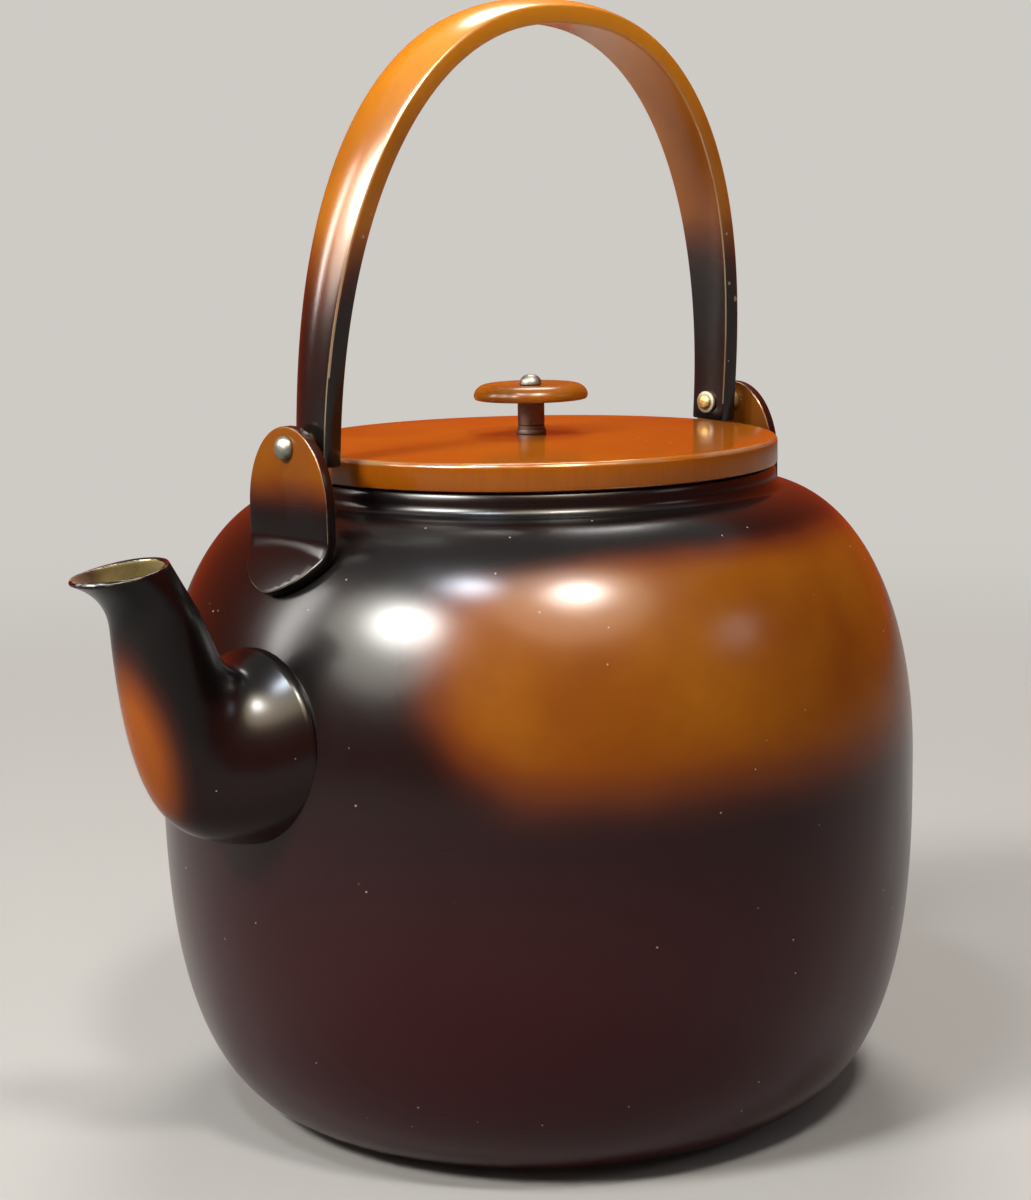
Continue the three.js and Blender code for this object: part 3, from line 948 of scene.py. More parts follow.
    def lining(self) -> bpy.types.Material:
        """Olive brass inside, with painted shade that darkens it towards the lip."""
        palette = Palette("spout_inside")
        stain = palette.noise(3.5, 4, 0.65).rise(-1.1, 1.0)
        # Painted shade: the inside turns dark towards the lip.
        dark = (palette.x + stain * 2).fall(*self.painted_lip_shade_span) * 0.95
        olive = palette.mix(stain * 0.7, INNER_BRASS.colour, INNER_BRASS.tarnish)
        return palette.shade(base_color=palette.mix(dark, olive, self.painted_lip_shade), metallic=0.8,
                             roughness=stain * 0.15 + 0.42, normal=palette.bump(stain, INNER_BRASS.relief))

    def build(self) -> bpy.types.Object:
        """Models and finishes the spout."""
        piece = self.tube()
        coat = Lacquer(amber=(0.33, 0.080, 0.003), deep_amber=(0.27, 0.058, 0.0025))
        paint(piece, coat.material("spout_lacquer", self.stripe, self.rubbed), self.lining())
        modify(piece, "SOLIDIFY", thickness=self.wall * MM, offset=-1, use_even_offset=True,
               material_offset=1, material_offset_rim=0)
        cut(piece, self.body.block(self.seam_gap))
        open_piece(piece)
        merge_doubles()
        close_piece()
        mouth_height = self.body.pour_height + self.rise + 2
        rim = ease(piece, self.rim_ease, lambda middle, angle: angle > 0.7 and middle.z > mouth_height)
        seam = ease(piece, self.seam_ease, self._on_outer_seam)
        mark_faces(piece, "rim", rim)
        mark_faces(piece, "seam", seam)
        smooth(piece, 40)
        settle(piece, "spout", Carrier.KETTLE)
        return piece

    def _on_outer_seam(self, middle: Vector, angle: float) -> bool:
        """Picks the root's outer edge, where the tube meets the belly."""
        outside = math.hypot(middle.y, middle.z - self.body.pour_height) > self.root_radius - self.wall / 2
        return angle > 0.5 and outside and abs(self.body.depth(middle)) < 4 * self.seam_gap


@dataclass
class ArchHandle:
    """A bar bent to an arch, flat inside and crowned outside, narrow at the rivets and wide at the top."""

    rivet_height: float
    leg_inner: float = 57.8
    leg_thickness: float = 5.8
    leg_width: float = 9.4
    grip_thickness: float = 5.2
    grip_width: float = 14.4
    grip_fullness: float = 0.8
    crown: float = 1.5
    arch_height: float = 86.9
    arch_fullness: float = 2.29
    leg_tail: float = 4.2
    rest_lean: float = 3.9
    rivet_hole: float = 1.45
    flank: float = 3
    end_margin: float = 0.5
    inner_ease: float = 0.6
    outer_ease: float = 0.45
    crown_steps: int = 12
    arch_steps: int = 128
    amber_span: Point = (23, 56)
    outer_face: Point = (56, 64)
    outer_lift: float = 6
    worn_span: Point = (66, 88)
    chips: tuple[tuple[Colour, float], ...] = (
        ((59.8, -6.97, 172.7), 0.7), ((57.2, -7.36, 176.4), 0.4), ((54.9, -8.58, 187.7), 0.4),
        ((-54.3, -8.83, 190.0), 0.35))

    @property
    def half_span(self) -> float:
        """From the middle to a leg's middle line."""
        return self.leg_inner + self.leg_thickness / 2

    def arch_point(self, angle: float) -> Vector:
        """A point of the bar's middle line above the rivets' axis, as x and z."""
        across, up = superellipse(math.pi / 2 - abs(math.pi / 2 - angle), self.arch_fullness)
        side = -1 if angle < math.pi / 2 else 1
        return Vector((side * self.half_span * across, self.arch_height * up))

    def line(self) -> list[Vector]:
        """The middle line, from the tail over the spout to the other tail."""
        arch = [self.arch_point(math.pi * i / self.arch_steps) for i in range(self.arch_steps + 1)]
        tail = Vector((0, self.leg_tail))
        return [arch[0] - tail, *arch, arch[-1] - tail]

    def section(self) -> list[Vector]:
        """The leg's section in the plane of X and Y, with its crowned side towards -X."""
        half, back = self.leg_width / 2, self.leg_thickness / 2
        points = [Vector((back, half, 0)), Vector((back, -half, 0))]
        for i in range(self.crown_steps + 1):
            share = 2 * i / self.crown_steps - 1
            points.append(Vector((self.crown * share ** 2 - back, half * share, 0)))
        return [point * MM for point in points]

    def bar(self) -> bpy.types.Object:
        """Draws the section and extrudes it along the line, laid flat, sized and turned at each step."""
        points = self.section()
        piece = start_point("arch_handle", points[0])
        draw_on(points[0], points[1:] + points[:1])
        bpy.ops.mesh.select_all(action="SELECT")
        bpy.ops.mesh.remove_doubles(threshold=DOUBLE)
        bpy.ops.mesh.edge_face_add()
        line = self.line()
        place, tilt, sizes = Vector(), 0.0, (self.leg_thickness, self.leg_width)
        for i, point in enumerate(line):
            target = Vector((point.x, 0, point.y)) * MM
            if i:
                bpy.ops.mesh.extrude_region_move(TRANSFORM_OT_translate={"value": target - place})
            else:
                move(target - place)
            turn(-tilt, "Y", target)
            lift = smoothstep(0, self.arch_height, point.y)
            thickness = self.leg_thickness + (self.grip_thickness - self.leg_thickness) * lift
            width = self.leg_width + (self.grip_width - self.leg_width) * lift ** self.grip_fullness
            growth = (thickness / sizes[0], width / sizes[1], 1)
            bpy.ops.transform.resize(value=growth, center_override=target)
            way = line[min(i + 1, len(line) - 1)] - line[max(i - 1, 0)]
            tilt = math.atan2(way.x, way.y)
            turn(tilt, "Y", target)
            place, sizes = target, (thickness, width)
        merge_doubles()
        close_piece()
        return piece

    def inside(self, middle: Vector) -> bool:
        """Whether a point lies on the arch's inner side."""
        across = abs(middle.x) / self.half_span
        up = max(middle.z, 0) / self.arch_height
        return across ** self.arch_fullness + up ** self.arch_fullness < 1

    def amber(self, palette: Palette) -> Shade:
        """Amber over the grip, black down the legs."""
        drift = palette.noise(24)
        flank = abs(palette.x).rise(*self.outer_face) * self.outer_lift
        return (palette.z + drift * 2.5 + flank - self.rivet_height).rise(*self.amber_span)

    def rubbed(self, palette: Palette) -> Shade:
        """The bar's long edges, rubbed to the brass, and a few chips."""
        patches = palette.noise(11, 3, 0.6).rise(-1.1, 0.3)
        upper = (palette.z - self.rivet_height).fall(*self.worn_span) * 0.55 + 0.1
        chips = palette.specks(9, 0.5, (1, 1, 0.55)) * palette.noise(7, 2).rise(0.2, 0.5)
        for place, radius in self.chips:
            chips = chips.over(palette.spot(place, radius))
        return (palette.mark("edge") * patches * upper).over(chips)

    def build(self) -> bpy.types.Object:
        """Models and finishes the handle, leaning as it rests."""
        piece = self.bar()
        span = self.half_span + self.leg_thickness
        cut(piece, drill(self.rivet_hole, (-span, span), 0))
        end = self.end_margin - self.leg_tail
        side = Vector((0, 1, 0))
        inner = ease(piece, self.inner_ease, lambda middle, angle: (
            angle > SHARP and self.inside(middle) and abs(middle.y) > self.flank and middle.z > end), side)
        outer = ease(piece, self.outer_ease, lambda middle, angle: (
            angle > SHARP and (abs(middle.y) > self.flank or middle.z < end)), side)
        open_piece(piece)
        turn(math.radians(self.rest_lean), "X", Vector())
        move(Vector((0, 0, self.rivet_height * MM)))
        close_piece()
        lean = Matrix.Rotation(math.radians(self.rest_lean), 4, "X")
        shift = Vector((0, 0, self.rivet_height * MM))
        mark_faces(piece, "edge", [lean @ middle + shift for middle in inner + outer])
        # The paler amber over the grip's top is painted light.
        coat = Lacquer(amber=(0.38, 0.130, 0.005), deep_amber=(0.30, 0.092, 0.004),
                       painted_light_amber=(0.58, 0.205, 0.008), gloss=0.45)
        paint(piece, coat.material("handle_lacquer", self.amber, self.rubbed))
        smooth(piece, 30)
        settle(piece, "handle_bar", Carrier.HANDLE)
        return piece


@dataclass
class Ear:
    """A tongue of plate with a long oval top, bent outwards at its foot to lie on the shoulder."""

    body: Body
    rivet_height: float
    inner_face: float
    thickness: float = 2.4
    half_width: float = 12.2
    top: float = 4.3
    top_run: float = 16.5
    reach: float = 6.8
    foot_run: float = 11.6
    foot_fullness: float = 1.6
    bend_radius: float = 6.0
    seat_gap: float = 0.3
    rivet_hole: float = 1.45
    ease_width: float = 0.34
    outline_steps: int = 72
    bend_steps: int = 24
    cross_scores: int = 40
    long_scores: int = 5
    touch_tries: int = 12
    walk_step: float = 0.05
    amber_run: float = 15.5
    upright: float = field(init=False)
    arc: float = field(init=False)

    def _seat(self, radius: float) -> tuple[Vector, Vector]:
        """A point of the shoulder at a radius, with the seat gap laid on, and the way down along it."""
        step = 0.5
        rise = self.body.shoulder(radius + step) - self.body.shoulder(radius - step)
        down = Vector((2 * step, rise)).normalized()
        lift = Vector((-down.y, down.x)) * self.seat_gap
        return Vector((radius, self.body.shoulder(radius))) + lift, down

    def line(self) -> list[tuple[float, Vector, Vector]]:
        """The inner face's line: the run from the top, the place and the way out at each step."""
        touch = self.inner_face
        for _ in range(self.touch_tries):
            point, down = self._seat(touch)
            touch += self.inner_face + self.bend_radius * (1 + down.y) - point.x
        point, down = self._seat(touch)
        lean = math.acos(-down.y)
        centre = Vector((self.inner_face + self.bend_radius, point.y + self.bend_radius * math.sin(lean)))
        upright = self.rivet_height + self.top - centre.y
        line = [(0.0, Vector((self.inner_face, self.rivet_height + self.top)), Vector((1, 0)))]
        for i in range(self.bend_steps + 1):
            angle = lean * i / self.bend_steps
            arm = Vector((math.cos(angle), math.sin(angle)))
            line.append((upright + self.bend_radius * angle, centre - arm * self.bend_radius, arm))
        radius = touch
        while radius < self.inner_face + self.reach:
            radius += self.walk_step
            point, down = self._seat(radius)
            run = line[-1][0] + (point - line[-1][1]).length
            line.append((run, point, Vector((-down.y, down.x))))
        self.upright, self.arc = upright, self.bend_radius * lean
        return line

    def half_at(self, run: float, length: float) -> float:
        """The plate's half width at a run from the top."""
        into_top = max(1 - run / self.top_run, 0)
        into_foot = max(1 - (length - run) / self.foot_run, 0)
        foot = (1 - into_foot ** self.foot_fullness) ** (1 / self.foot_fullness)
        return self.half_width * min(math.sqrt(1 - into_top ** 2), foot)

    def plate(self, length: float) -> bpy.types.Object:
        """Cuts the plate flat: its outline is drawn, filled, thickened, eased, drilled and scored.

        Args:
            length: of the plate along its run, which lies along X here, with its outer face up.

        Returns:
            The flat plate.
        """
        turns = [math.pi * i / self.outline_steps for i in range(self.outline_steps + 1)]
        runs = [length * (1 - math.cos(angle)) / 2 for angle in turns]
        edge = [Vector((run, self.half_at(run, length), 0)) for run in runs]
        outline = edge + [Vector((point.x, -point.y, 0)) for point in edge[-2:0:-1]]
        points = [point * MM for point in outline]
        piece = start_point("rear_ear_plate", points[0])
        draw_on(points[0], points[1:] + points[:1])
        bpy.ops.mesh.select_all(action="SELECT")
        bpy.ops.mesh.remove_doubles(threshold=DOUBLE)
        bpy.ops.mesh.edge_face_add()
        thickness = Vector((0, 0, self.thickness * MM))
        bpy.ops.mesh.extrude_region_move(TRANSFORM_OT_translate={"value": thickness})
        merge_doubles()
        close_piece()
        eased = ease(piece, self.ease_width, lambda middle, angle: angle > 1.0, Vector((0, 0, 1)))
        mark_faces(piece, "edge", eased)
        # The narrow side faces are marked for the painted shade on them.
        sides = [face.center for face in piece.data.polygons if abs(face.normal.z) < 0.3]
        mark_faces(piece, "side", sides)
        deselect()
        bpy.ops.mesh.primitive_cylinder_add(vertices=32, radius=self.rivet_hole * MM,
                                            depth=4 * self.thickness * MM, location=(self.top * MM, 0, 0))
        cut(piece, bpy.context.active_object)
        open_piece(piece)
        start = self.upright - 1
        for i in range(self.cross_scores):
            run = start + (length - start) * i / self.cross_scores
            self._score(Vector((run, 0, 0)), Vector((1, 0, 0)))
        for i in range(-self.long_scores, self.long_scores + 1):
            across = self.half_width * i / (self.long_scores + 1)
            self._score(Vector((0, across, 0)), Vector((0, 1, 0)))
        close_piece()
        return piece

    def _score(self, place: Vector, way: Vector) -> None:
        """Cuts an edge across the open piece, through a place in millimetres and square to a way."""
        bpy.ops.mesh.select_all(action="SELECT")
        bpy.ops.mesh.bisect(plane_co=place * MM, plane_no=way, use_fill=False)

    def bend(self, piece: bpy.types.Object, line: list[tuple[float, Vector, Vector]]) -> None:
        """Bends the flat plate along the line, and lets the foot's sides follow the round shoulder.

        Args:
            piece: the flat plate.
            line: as from line().
        """
        for vertex in piece.data.vertices:
            run, across, out = vertex.co / MM
            i = 1
            while i < len(line) - 1 and line[i][0] < run:
                i += 1
            before, after = line[i - 1], line[i]
            share = (run - before[0]) / (after[0] - before[0])
            place = before[1].lerp(after[1], share)
            way = before[2].lerp(after[2], share).normalized()
            settled = min(max((run - self.upright) / self.arc, 0), 1)
            aside = self.body.shoulder(math.hypot(place.x, across))
            drop = (self.body.shoulder(place.x) - aside) * settled
            vertex.co = Vector((place.x + way.x * out, across, place.y + way.y * out - drop)) * MM

    def amber(self, palette: Palette) -> Shade:
        """Amber at the top, black from the bend down, and painted shade that darkens the plate's narrow
        sides.
        """
        face = (palette.z + palette.noise(13)).rise(self.rivet_height - self.amber_run, self.rivet_height)
        # Painted shade: the narrow sides are darkened.
        return face * (1 - palette.mark("side") * 0.8)

    def rubbed(self, palette: Palette) -> Shade:
        """The plate's eased edges, rubbed in places."""
        patches = palette.noise(5, 3, 0.6).rise(-0.5, 0.7)
        chips = palette.specks(7, 0.35) * palette.noise(6, 2).rise(0.2, 0.5)
        return (palette.mark("edge") * patches * 0.5).over(chips)

    def build(self) -> None:
        """Models and finishes both ears."""
        line = self.line()
        rear = self.plate(line[-1][0])
        self.bend(rear, line)
        smooth(rear, 30)
        coat = Lacquer(amber=(0.22, 0.068, 0.004), deep_amber=(0.17, 0.045, 0.003))
        paint(rear, coat.material("ear_lacquer", self.amber, self.rubbed))
        front = copy_turned(rear, "front_ear_plate", Side.FRONT.value)
        settle(rear, "rear_ear", Carrier.KETTLE)
        settle(front, "front_ear", Carrier.KETTLE)


@dataclass
class HandleRivets:
    """The two rivets with their washers: made along X at the rear and turned round for the front."""

    rivet_height: float
    leg_inner: float
    leg_outer: float
    ear_outer: float
    shank: float = 1.35
    head_radius: float = 2.45
    head_rise: float = 1.9
    end_radius: float = 1.7
    end_rise: float = 1.0
    washer_radius: float = 2.5
    washer_thickness: float = 0.8
    spacer_thickness: float = 2.4
    hole_play: float = 0.1
    stack_gap: float = 0.12
    dome_foot: float = 0.25
    dome_undercut: Point = (0.12, 0.1)
    end_taper: float = 0.97
    peened: tuple[Point, ...] = ((0, 0), (0.45, 0.04), (0.78, 0.2), (0.97, 0.5), (1, 0.75))
    yellow: Colour = (0.46, 0.32, 0.11)
    dull_yellow: Colour = (0.18, 0.11, 0.045)

    def _lay(self, piece: bpy.types.Object) -> None:
        """Lays a piece that was spun about Z along X, at the rivets' height."""
        open_piece(piece)
        turn(math.pi / 2, "Y", Vector())
        move(Vector((0, 0, self.rivet_height * MM)))
        close_piece()

    def rivet(self) -> bpy.types.Object:
        """The rivet, from its peened end to its domed head."""
        end_seat = self.leg_inner - self.washer_thickness - 2 * self.stack_gap
        head_seat = self.ear_outer + self.stack_gap
        tip = end_seat - self.end_rise
        end = [(self.end_radius * share, tip + lift) for share, lift in self.peened]
        dome = rounded(self.head_radius, head_seat + self.head_rise, self.head_radius,
                       self.head_rise - self.dome_foot, 12)
        inset, lift = self.dome_undercut
        piece = spun("rear_ear_rivet", [
            *end, (self.end_radius * self.end_taper, end_seat), (self.shank, end_seat),
            (self.shank, head_seat), (self.head_radius - inset, head_seat),
            (self.head_radius, head_seat + lift), *dome], 48)
        self._lay(piece)
        return piece

    def washer(self, name: str, face: float, thickness: float) -> bpy.types.Object:
        """A washer from one face's place along X outwards, with eased edges."""
        hole, rim, soft = self.shank + self.hole_play, self.washer_radius, 0.14
        piece = spun(name, [
            (hole, face), (rim - soft, face), (rim - soft * 0.3, face + soft * 0.3), (rim, face + soft),
            (rim, face + thickness - soft), (rim - soft * 0.3, face + thickness - soft * 0.3),
            (rim - soft, face + thickness), (hole, face + thickness)], 48, ring=True)
        self._lay(piece)
        return piece

    def steel(self) -> bpy.types.Material:
        """Grey metal on the head, and yellow where the end was hammered."""
        palette = Palette("rivet_metal")
        stain = palette.noise(0.9, 4, 0.65).rise(-1.1, 1.0)
        hammered = abs(palette.x).fall(self.leg_inner - 0.6, self.leg_inner + 0.4)
        grey = palette.mix(stain * 0.6, STEEL.colour, STEEL.tarnish)
        yellow = palette.mix(stain * 0.5, self.yellow, self.dull_yellow)
        dents = palette.noise(0.8) * hammered + stain * 0.3
        return palette.shade(base_color=palette.mix(hammered, grey, yellow), metallic=1.0,
                             roughness=stain * 0.2 + 0.3, normal=palette.bump(dents, 0.08))

    def build(self) -> None:
        """Models and finishes the rivets, spacers and washers of both ends."""
        spacer_face = self.leg_outer + self.stack_gap
        washer_face = self.leg_inner - self.stack_gap - self.washer_thickness
        rivet = self.rivet()
        rivet_metal = self.steel()
        spacer = self.washer("rear_leg_spacer", spacer_face, self.spacer_thickness)
        spacer_metal = BRASS_WASHER.material("spacer_brass")
        washer = self.washer("rear_end_washer", washer_face, self.washer_thickness)
        washer_metal = GREY_WASHER.material("end_washer_metal")
        kinds = [
            (rivet, "ear_rivet", "rivet", rivet_metal, Slot.STEEL),
            (spacer, "leg_spacer", "spacer", spacer_metal, Slot.BRASS),
            (washer, "end_washer", "washer", washer_metal, Slot.STEEL),
        ]
        for rear, kind, node, metal, slot in kinds:
            smooth(rear)
            paint(rear, metal)
            front = copy_turned(rear, f"front_{kind}", Side.FRONT.value)
            settle(rear, f"rear_{node}", Carrier.KETTLE)
            settle(front, f"front_{node}", Carrier.KETTLE)


@dataclass
class Lid:
    """A shallow cap with a short skirt, and the collar inside it that drops into the body's opening."""

    body: Body
    crown_rise: float = 0.9
    edge_radius: float = 1.1
    wall: float = 1.1
    shank_hole: float = 1.3
    collar_play: float = 0.6
    collar_depth: float = 8.0
    collar_wall: float = 1.0
    collar_flange: float = 4.0
    seat_gap: float = 0.3
    steps_inwards: int = 14
    radius: float = field(init=False)
    seat: float = field(init=False)
    crown: float = field(init=False)

    def __post_init__(self) -> None:
        """Takes the outer sizes from the frame."""
        low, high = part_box("lid_cap")
        self.radius, self.seat, self.crown = high.x / MM, low.z / MM, high.z / MM

    def top(self, radius: float) -> float:
        """The top's height at a radius."""
        return self.crown - self.crown_rise * (radius / self.radius) ** 2

    def cap(self) -> bpy.types.Object:
        """The cap."""
        round_start = self.radius - self.edge_radius
        edge = rounded(self.radius, self.top(round_start), self.edge_radius, self.edge_radius, 10)
        shares = [1 - i / self.steps_inwards for i in range(1, self.steps_inwards)]
        over = [(round_start * share, self.top(round_start * share)) for share in shares]
        inner = self.radius - self.wall
        under = [(inner * share, self.top(inner * share) - self.wall) for share in reversed(shares)]
        soft = self.wall / 4
        middle = self.radius - self.wall / 2
        rim = [(middle - (self.wall / 2 - soft) * side, self.seat) for side in (1, 0, -1)]
        return spun("lid_shell", [
            *rim, (self.radius - soft * 0.3, self.seat + soft * 0.3), (self.radius, self.seat + soft),
            *edge, *over, (self.shank_hole, self.crown), (self.shank_hole, self.crown - self.wall), *under,
            (inner - 0.4, self.top(inner) - self.wall), (inner, self.top(inner) - self.wall - 0.4),
            (inner, self.seat + soft), (inner + soft * 0.3, self.seat + soft * 0.3)], 160, ring=True)

    def collar(self) -> bpy.types.Object:
        """The collar, with the flange by which it is soldered into the cap."""
        outer = self.body.neck_radius - self.body.wall - self.collar_play
        inner = outer - self.collar_wall
        top = self.top(outer) - self.wall - self.seat_gap
        low = self.seat - self.collar_depth
        soft = 0.3
        return spun("lid_inner_ring", [
            (inner, low + soft), (inner + soft, low), (outer - soft, low), (outer, low + soft), (outer, top),
            (inner - self.collar_flange, top), (inner - self.collar_flange, top - self.collar_wall),
            (inner - soft, top - self.collar_wall), (inner, top - self.collar_wall - soft)], 128, ring=True)

    def rubbed(self, palette: Palette) -> Shade:
        """The skirt's lower rim and its upper edge, rubbed in a few places."""
        low = palette.z.fall(self.seat + 0.12, self.seat + 0.34) * palette.noise(8, 3, 0.6).rise(0.1, 0.7)
        rim = self.top(self.radius)
        edge = palette.z.rise(rim - 1.0, rim - 0.6) * palette.z.fall(rim - 0.15, rim + 0.05)
        near = palette.radius.rise(self.radius - 1.0, self.radius - 0.7)
        return low.over(edge * near * palette.noise(14, 3, 0.6).rise(-0.6, 0.9) * 0.55)

    def amber(self, palette: Palette) -> Shade:
        """Amber all over, with painted shade that makes the skirt a little deeper."""
        # Painted shade deepens the skirt, with a fine grain in it.
        skirt = palette.z.fall(self.top(self.radius) - 1.2, self.top(self.radius) - 0.2)
        grain = palette.noise(0.9, 3, 0.6, (1, 1, 0.1))
        return palette.noise(40) * 0.06 + 0.92 - skirt * (grain * 0.05 + 0.25)

    def build(self) -> None:
        """Models and finishes the cap and its collar."""
        cap = self.cap()
        coat = Lacquer(amber=(0.33, 0.092, 0.003), deep_amber=(0.26, 0.064, 0.002), roughness=0.15,
                       dusty=0.55, peel_depth=0.002)
        for face in cap.data.polygons:
            height = face.center.z / MM
            under = face.normal.z < -0.5 and self.seat + 1 < height < self.crown - self.wall / 2 - 0.4
            inward = face.normal.dot(Vector((face.center.x, face.center.y, 0)).normalized()) < -0.5
            face.material_index = int(under or inward)
        lacquer = coat.material("lid_lacquer", self.amber, self.rubbed)
        paint(cap, lacquer, INNER_COPPER.material("lid_inside"))
        smooth(cap)
        settle(cap, "lid_cap", Carrier.LID)
        collar = self.collar()
        paint(collar, INNER_COPPER.material("collar_copper"))
        smooth(collar)
        settle(collar, "lid_collar", Carrier.LID)


@dataclass
class Knob:
    """A mushroom disc on a post with a foot ring, held by one pin through the lid."""

    lid: Lid
    disc_radius: float = 12.4
    disc_thickness: float = 3.4
    edge_run: float = 3.2
    foot_rise: float = 0.8
    foot_run: float = 0.6
    dish: float = 0.4
    dish_radius: float = 5.6
    post_radius: float = 2.9
    post_length: float = 7.2
    ring_radius: float = 3.25
    ring_height: float = 0.9
    groove_lift: float = 0.7
    shank: float = 1.2
    head_radius: float = 2.4
    head_rise: float = 2.3
    end_radius: float = 2.0
    end_rise: float = 0.7
    washer_radius: float = 5.0
    washer_thickness: float = 0.8
    hole_play: float = 0.1
    stack_gap: float = 0.12
    dome_foot: float = 0.3
    dome_undercut: Point = (0.15, 0.12)
    peened: tuple[Point, ...] = ((0, 0), (0.6, 0.05), (0.92, 0.25), (1, 0.5))
    foot: float = field(init=False)
    disc_foot: float = field(init=False)
    disc_top: float = field(init=False)

    def __post_init__(self) -> None:
        """Stacks the pieces on the lid."""
        self.foot = self.lid.crown + self.stack_gap
        self.disc_foot = self.foot + self.post_length + self.stack_gap
        self.disc_top = self.disc_foot + self.disc_thickness

    def disc(self) -> bpy.types.Object:
        """The disc: a thin foot edge, a full round side and a shallow dish round the pin."""
        hole = self.shank + self.hole_play
        side = rounded(self.disc_radius, self.disc_top, self.edge_run,
                       self.disc_thickness - self.foot_rise, 16)
        foot = self.disc_radius - self.foot_run
        lip = [(foot + self.foot_run * math.sin(a), self.disc_foot + self.foot_rise * (1 - math.cos(a)))
               for a in (math.pi / 8 * i for i in range(4))]
        slope = [(self.dish_radius + (side[-1][0] - self.dish_radius) * share,
                  self.disc_top - self.dish * smoothstep(1, 0, share)) for share in (0.8, 0.6, 0.4, 0.2)]
        dished = self.disc_top - self.dish
        return spun("knob_top", [(hole, self.disc_foot), *lip, *side, *slope,
                                 (self.dish_radius * 0.7, dished), (hole, dished)], 96, ring=True)

    def post(self) -> bpy.types.Object:
        """The post."""
        hole, soft = self.shank + self.hole_play, 0.15
        top = self.foot + self.post_length
        groove = self.foot + self.ring_height + self.groove_lift
        return spun("knob_post", [
            (hole, self.foot), (self.post_radius, self.foot), (self.post_radius, groove),
            (self.post_radius - soft, groove + soft), (self.post_radius, groove + 2 * soft),
            (self.post_radius, top - soft), (self.post_radius - soft, top), (hole, top)], 64, ring=True)

    def ring(self) -> bpy.types.Object:
        """The ring round the post's foot, with a rounded top edge."""
        hole, soft = self.post_radius + self.hole_play, 0.3
        top = self.foot + self.ring_height
        corner = rounded(self.ring_radius, top, soft, soft, 4)
        points = [(hole, self.foot), (self.ring_radius, self.foot), *corner, (hole, top)]
        return spun("knob_foot_ring", points, 48, ring=True)

    def pin(self) -> bpy.types.Object:
        """The pin, from its peened end under the lid to its domed head."""
        seat = self.disc_top - self.dish + self.stack_gap
        end = self.lid.crown - self.lid.wall - self.washer_thickness - 2 * self.stack_gap
        tip = end - self.end_rise
        hammered = [(self.end_radius * share, tip + lift) for share, lift in self.peened]
        dome = rounded(self.head_radius, seat + self.head_rise, self.head_radius,
                       self.head_rise - self.dome_foot, 12)
        inset, lift = self.dome_undercut
        return spun("knob_pin", [
            *hammered, (self.end_radius, end), (self.shank, end), (self.shank, seat),
            (self.head_radius - inset, seat), (self.head_radius, seat + lift), *dome], 48)

    def washer(self) -> bpy.types.Object:
        """The washer under the lid."""
        top = self.lid.crown - self.lid.wall - self.stack_gap
        low = top - self.washer_thickness
        hole = self.shank + self.hole_play
        rim, soft = self.washer_radius, 0.15
        return spun("knob_inner_washer", [
            (hole, low), (rim - soft, low), (rim, low + soft), (rim, top - soft), (rim - soft, top),
            (hole, top)], 48, ring=True)

    def amber(self, palette: Palette) -> Shade:
        """Amber all over."""
        return palette.noise(12) * 0.05 + 0.93

    def rubbed(self, palette: Palette) -> Shade:
        """A trace of brass on the disc's lower edge."""
        low = palette.z.fall(self.disc_foot + 0.1, self.disc_foot + 0.5) * palette.radius.rise(11.2, 11.8)
        return low * palette.noise(5, 3, 0.6).rise(0, 0.6) * 0.7

    def build(self) -> None:
        """Models and finishes the knob's pieces."""
        coat = Lacquer(amber=(0.31, 0.100, 0.004), deep_amber=(0.25, 0.072, 0.003), roughness=0.24,
                       dusty=0.3, peel_depth=0.001)
        bronze = BRONZE.material("knob_bronze")
        steel = STEEL.material("knob_steel")
        pieces = [
            (self.disc(), "knob_disc", coat.material("knob_lacquer", self.amber, self.rubbed), Slot.LID),
            (self.post(), "knob_stem", bronze, Slot.BRONZE),
            (self.ring(), "knob_ring", bronze, Slot.BRONZE),
            (self.pin(), "knob_rivet", steel, Slot.STEEL),
            (self.washer(), "knob_washer", steel, Slot.STEEL),
        ]
        for piece, node, material, slot in pieces:
            smooth(piece, 38)
            paint(piece, material)
            settle(piece, node, Carrier.LID)


# Studio


@dataclass(frozen=True)
class Lamp:
    """A soft lamp that faces the kettle from a bearing and an elevation, both in degrees.

    One that is gleam_only shows in reflections and lights nothing else.
    """

    name: str
    bearing: float
    elevation: float
    width: float
    height: float
    watts: float
    colour: Colour = (1, 1, 1)
    gleam_only: bool = False
    distance: float = 1.25

    def build(self, aim: Vector) -> None:
        """Adds the lamp."""
        data = bpy.data.lights.new(self.name, "AREA")
        data.shape = "ELLIPSE"
        data.size, data.size_y = self.width, self.height
        data.energy = self.watts
        data.color = self.colour
        lamp = bpy.data.objects.new(self.name, data)
        bpy.context.scene.collection.objects.link(lamp)
        turned, raised = math.radians(self.bearing), math.radians(self.elevation)
        level = math.cos(raised)
        way = Vector((math.cos(turned) * level, math.sin(turned) * level, math.sin(raised)))
        lamp.location = aim + way * self.distance
        lamp.rotation_mode = "QUATERNION"
        lamp.rotation_quaternion = way.to_track_quat("Z", "Y")
        lamp.visible_camera = False
        lamp.visible_diffuse = not self.gleam_only


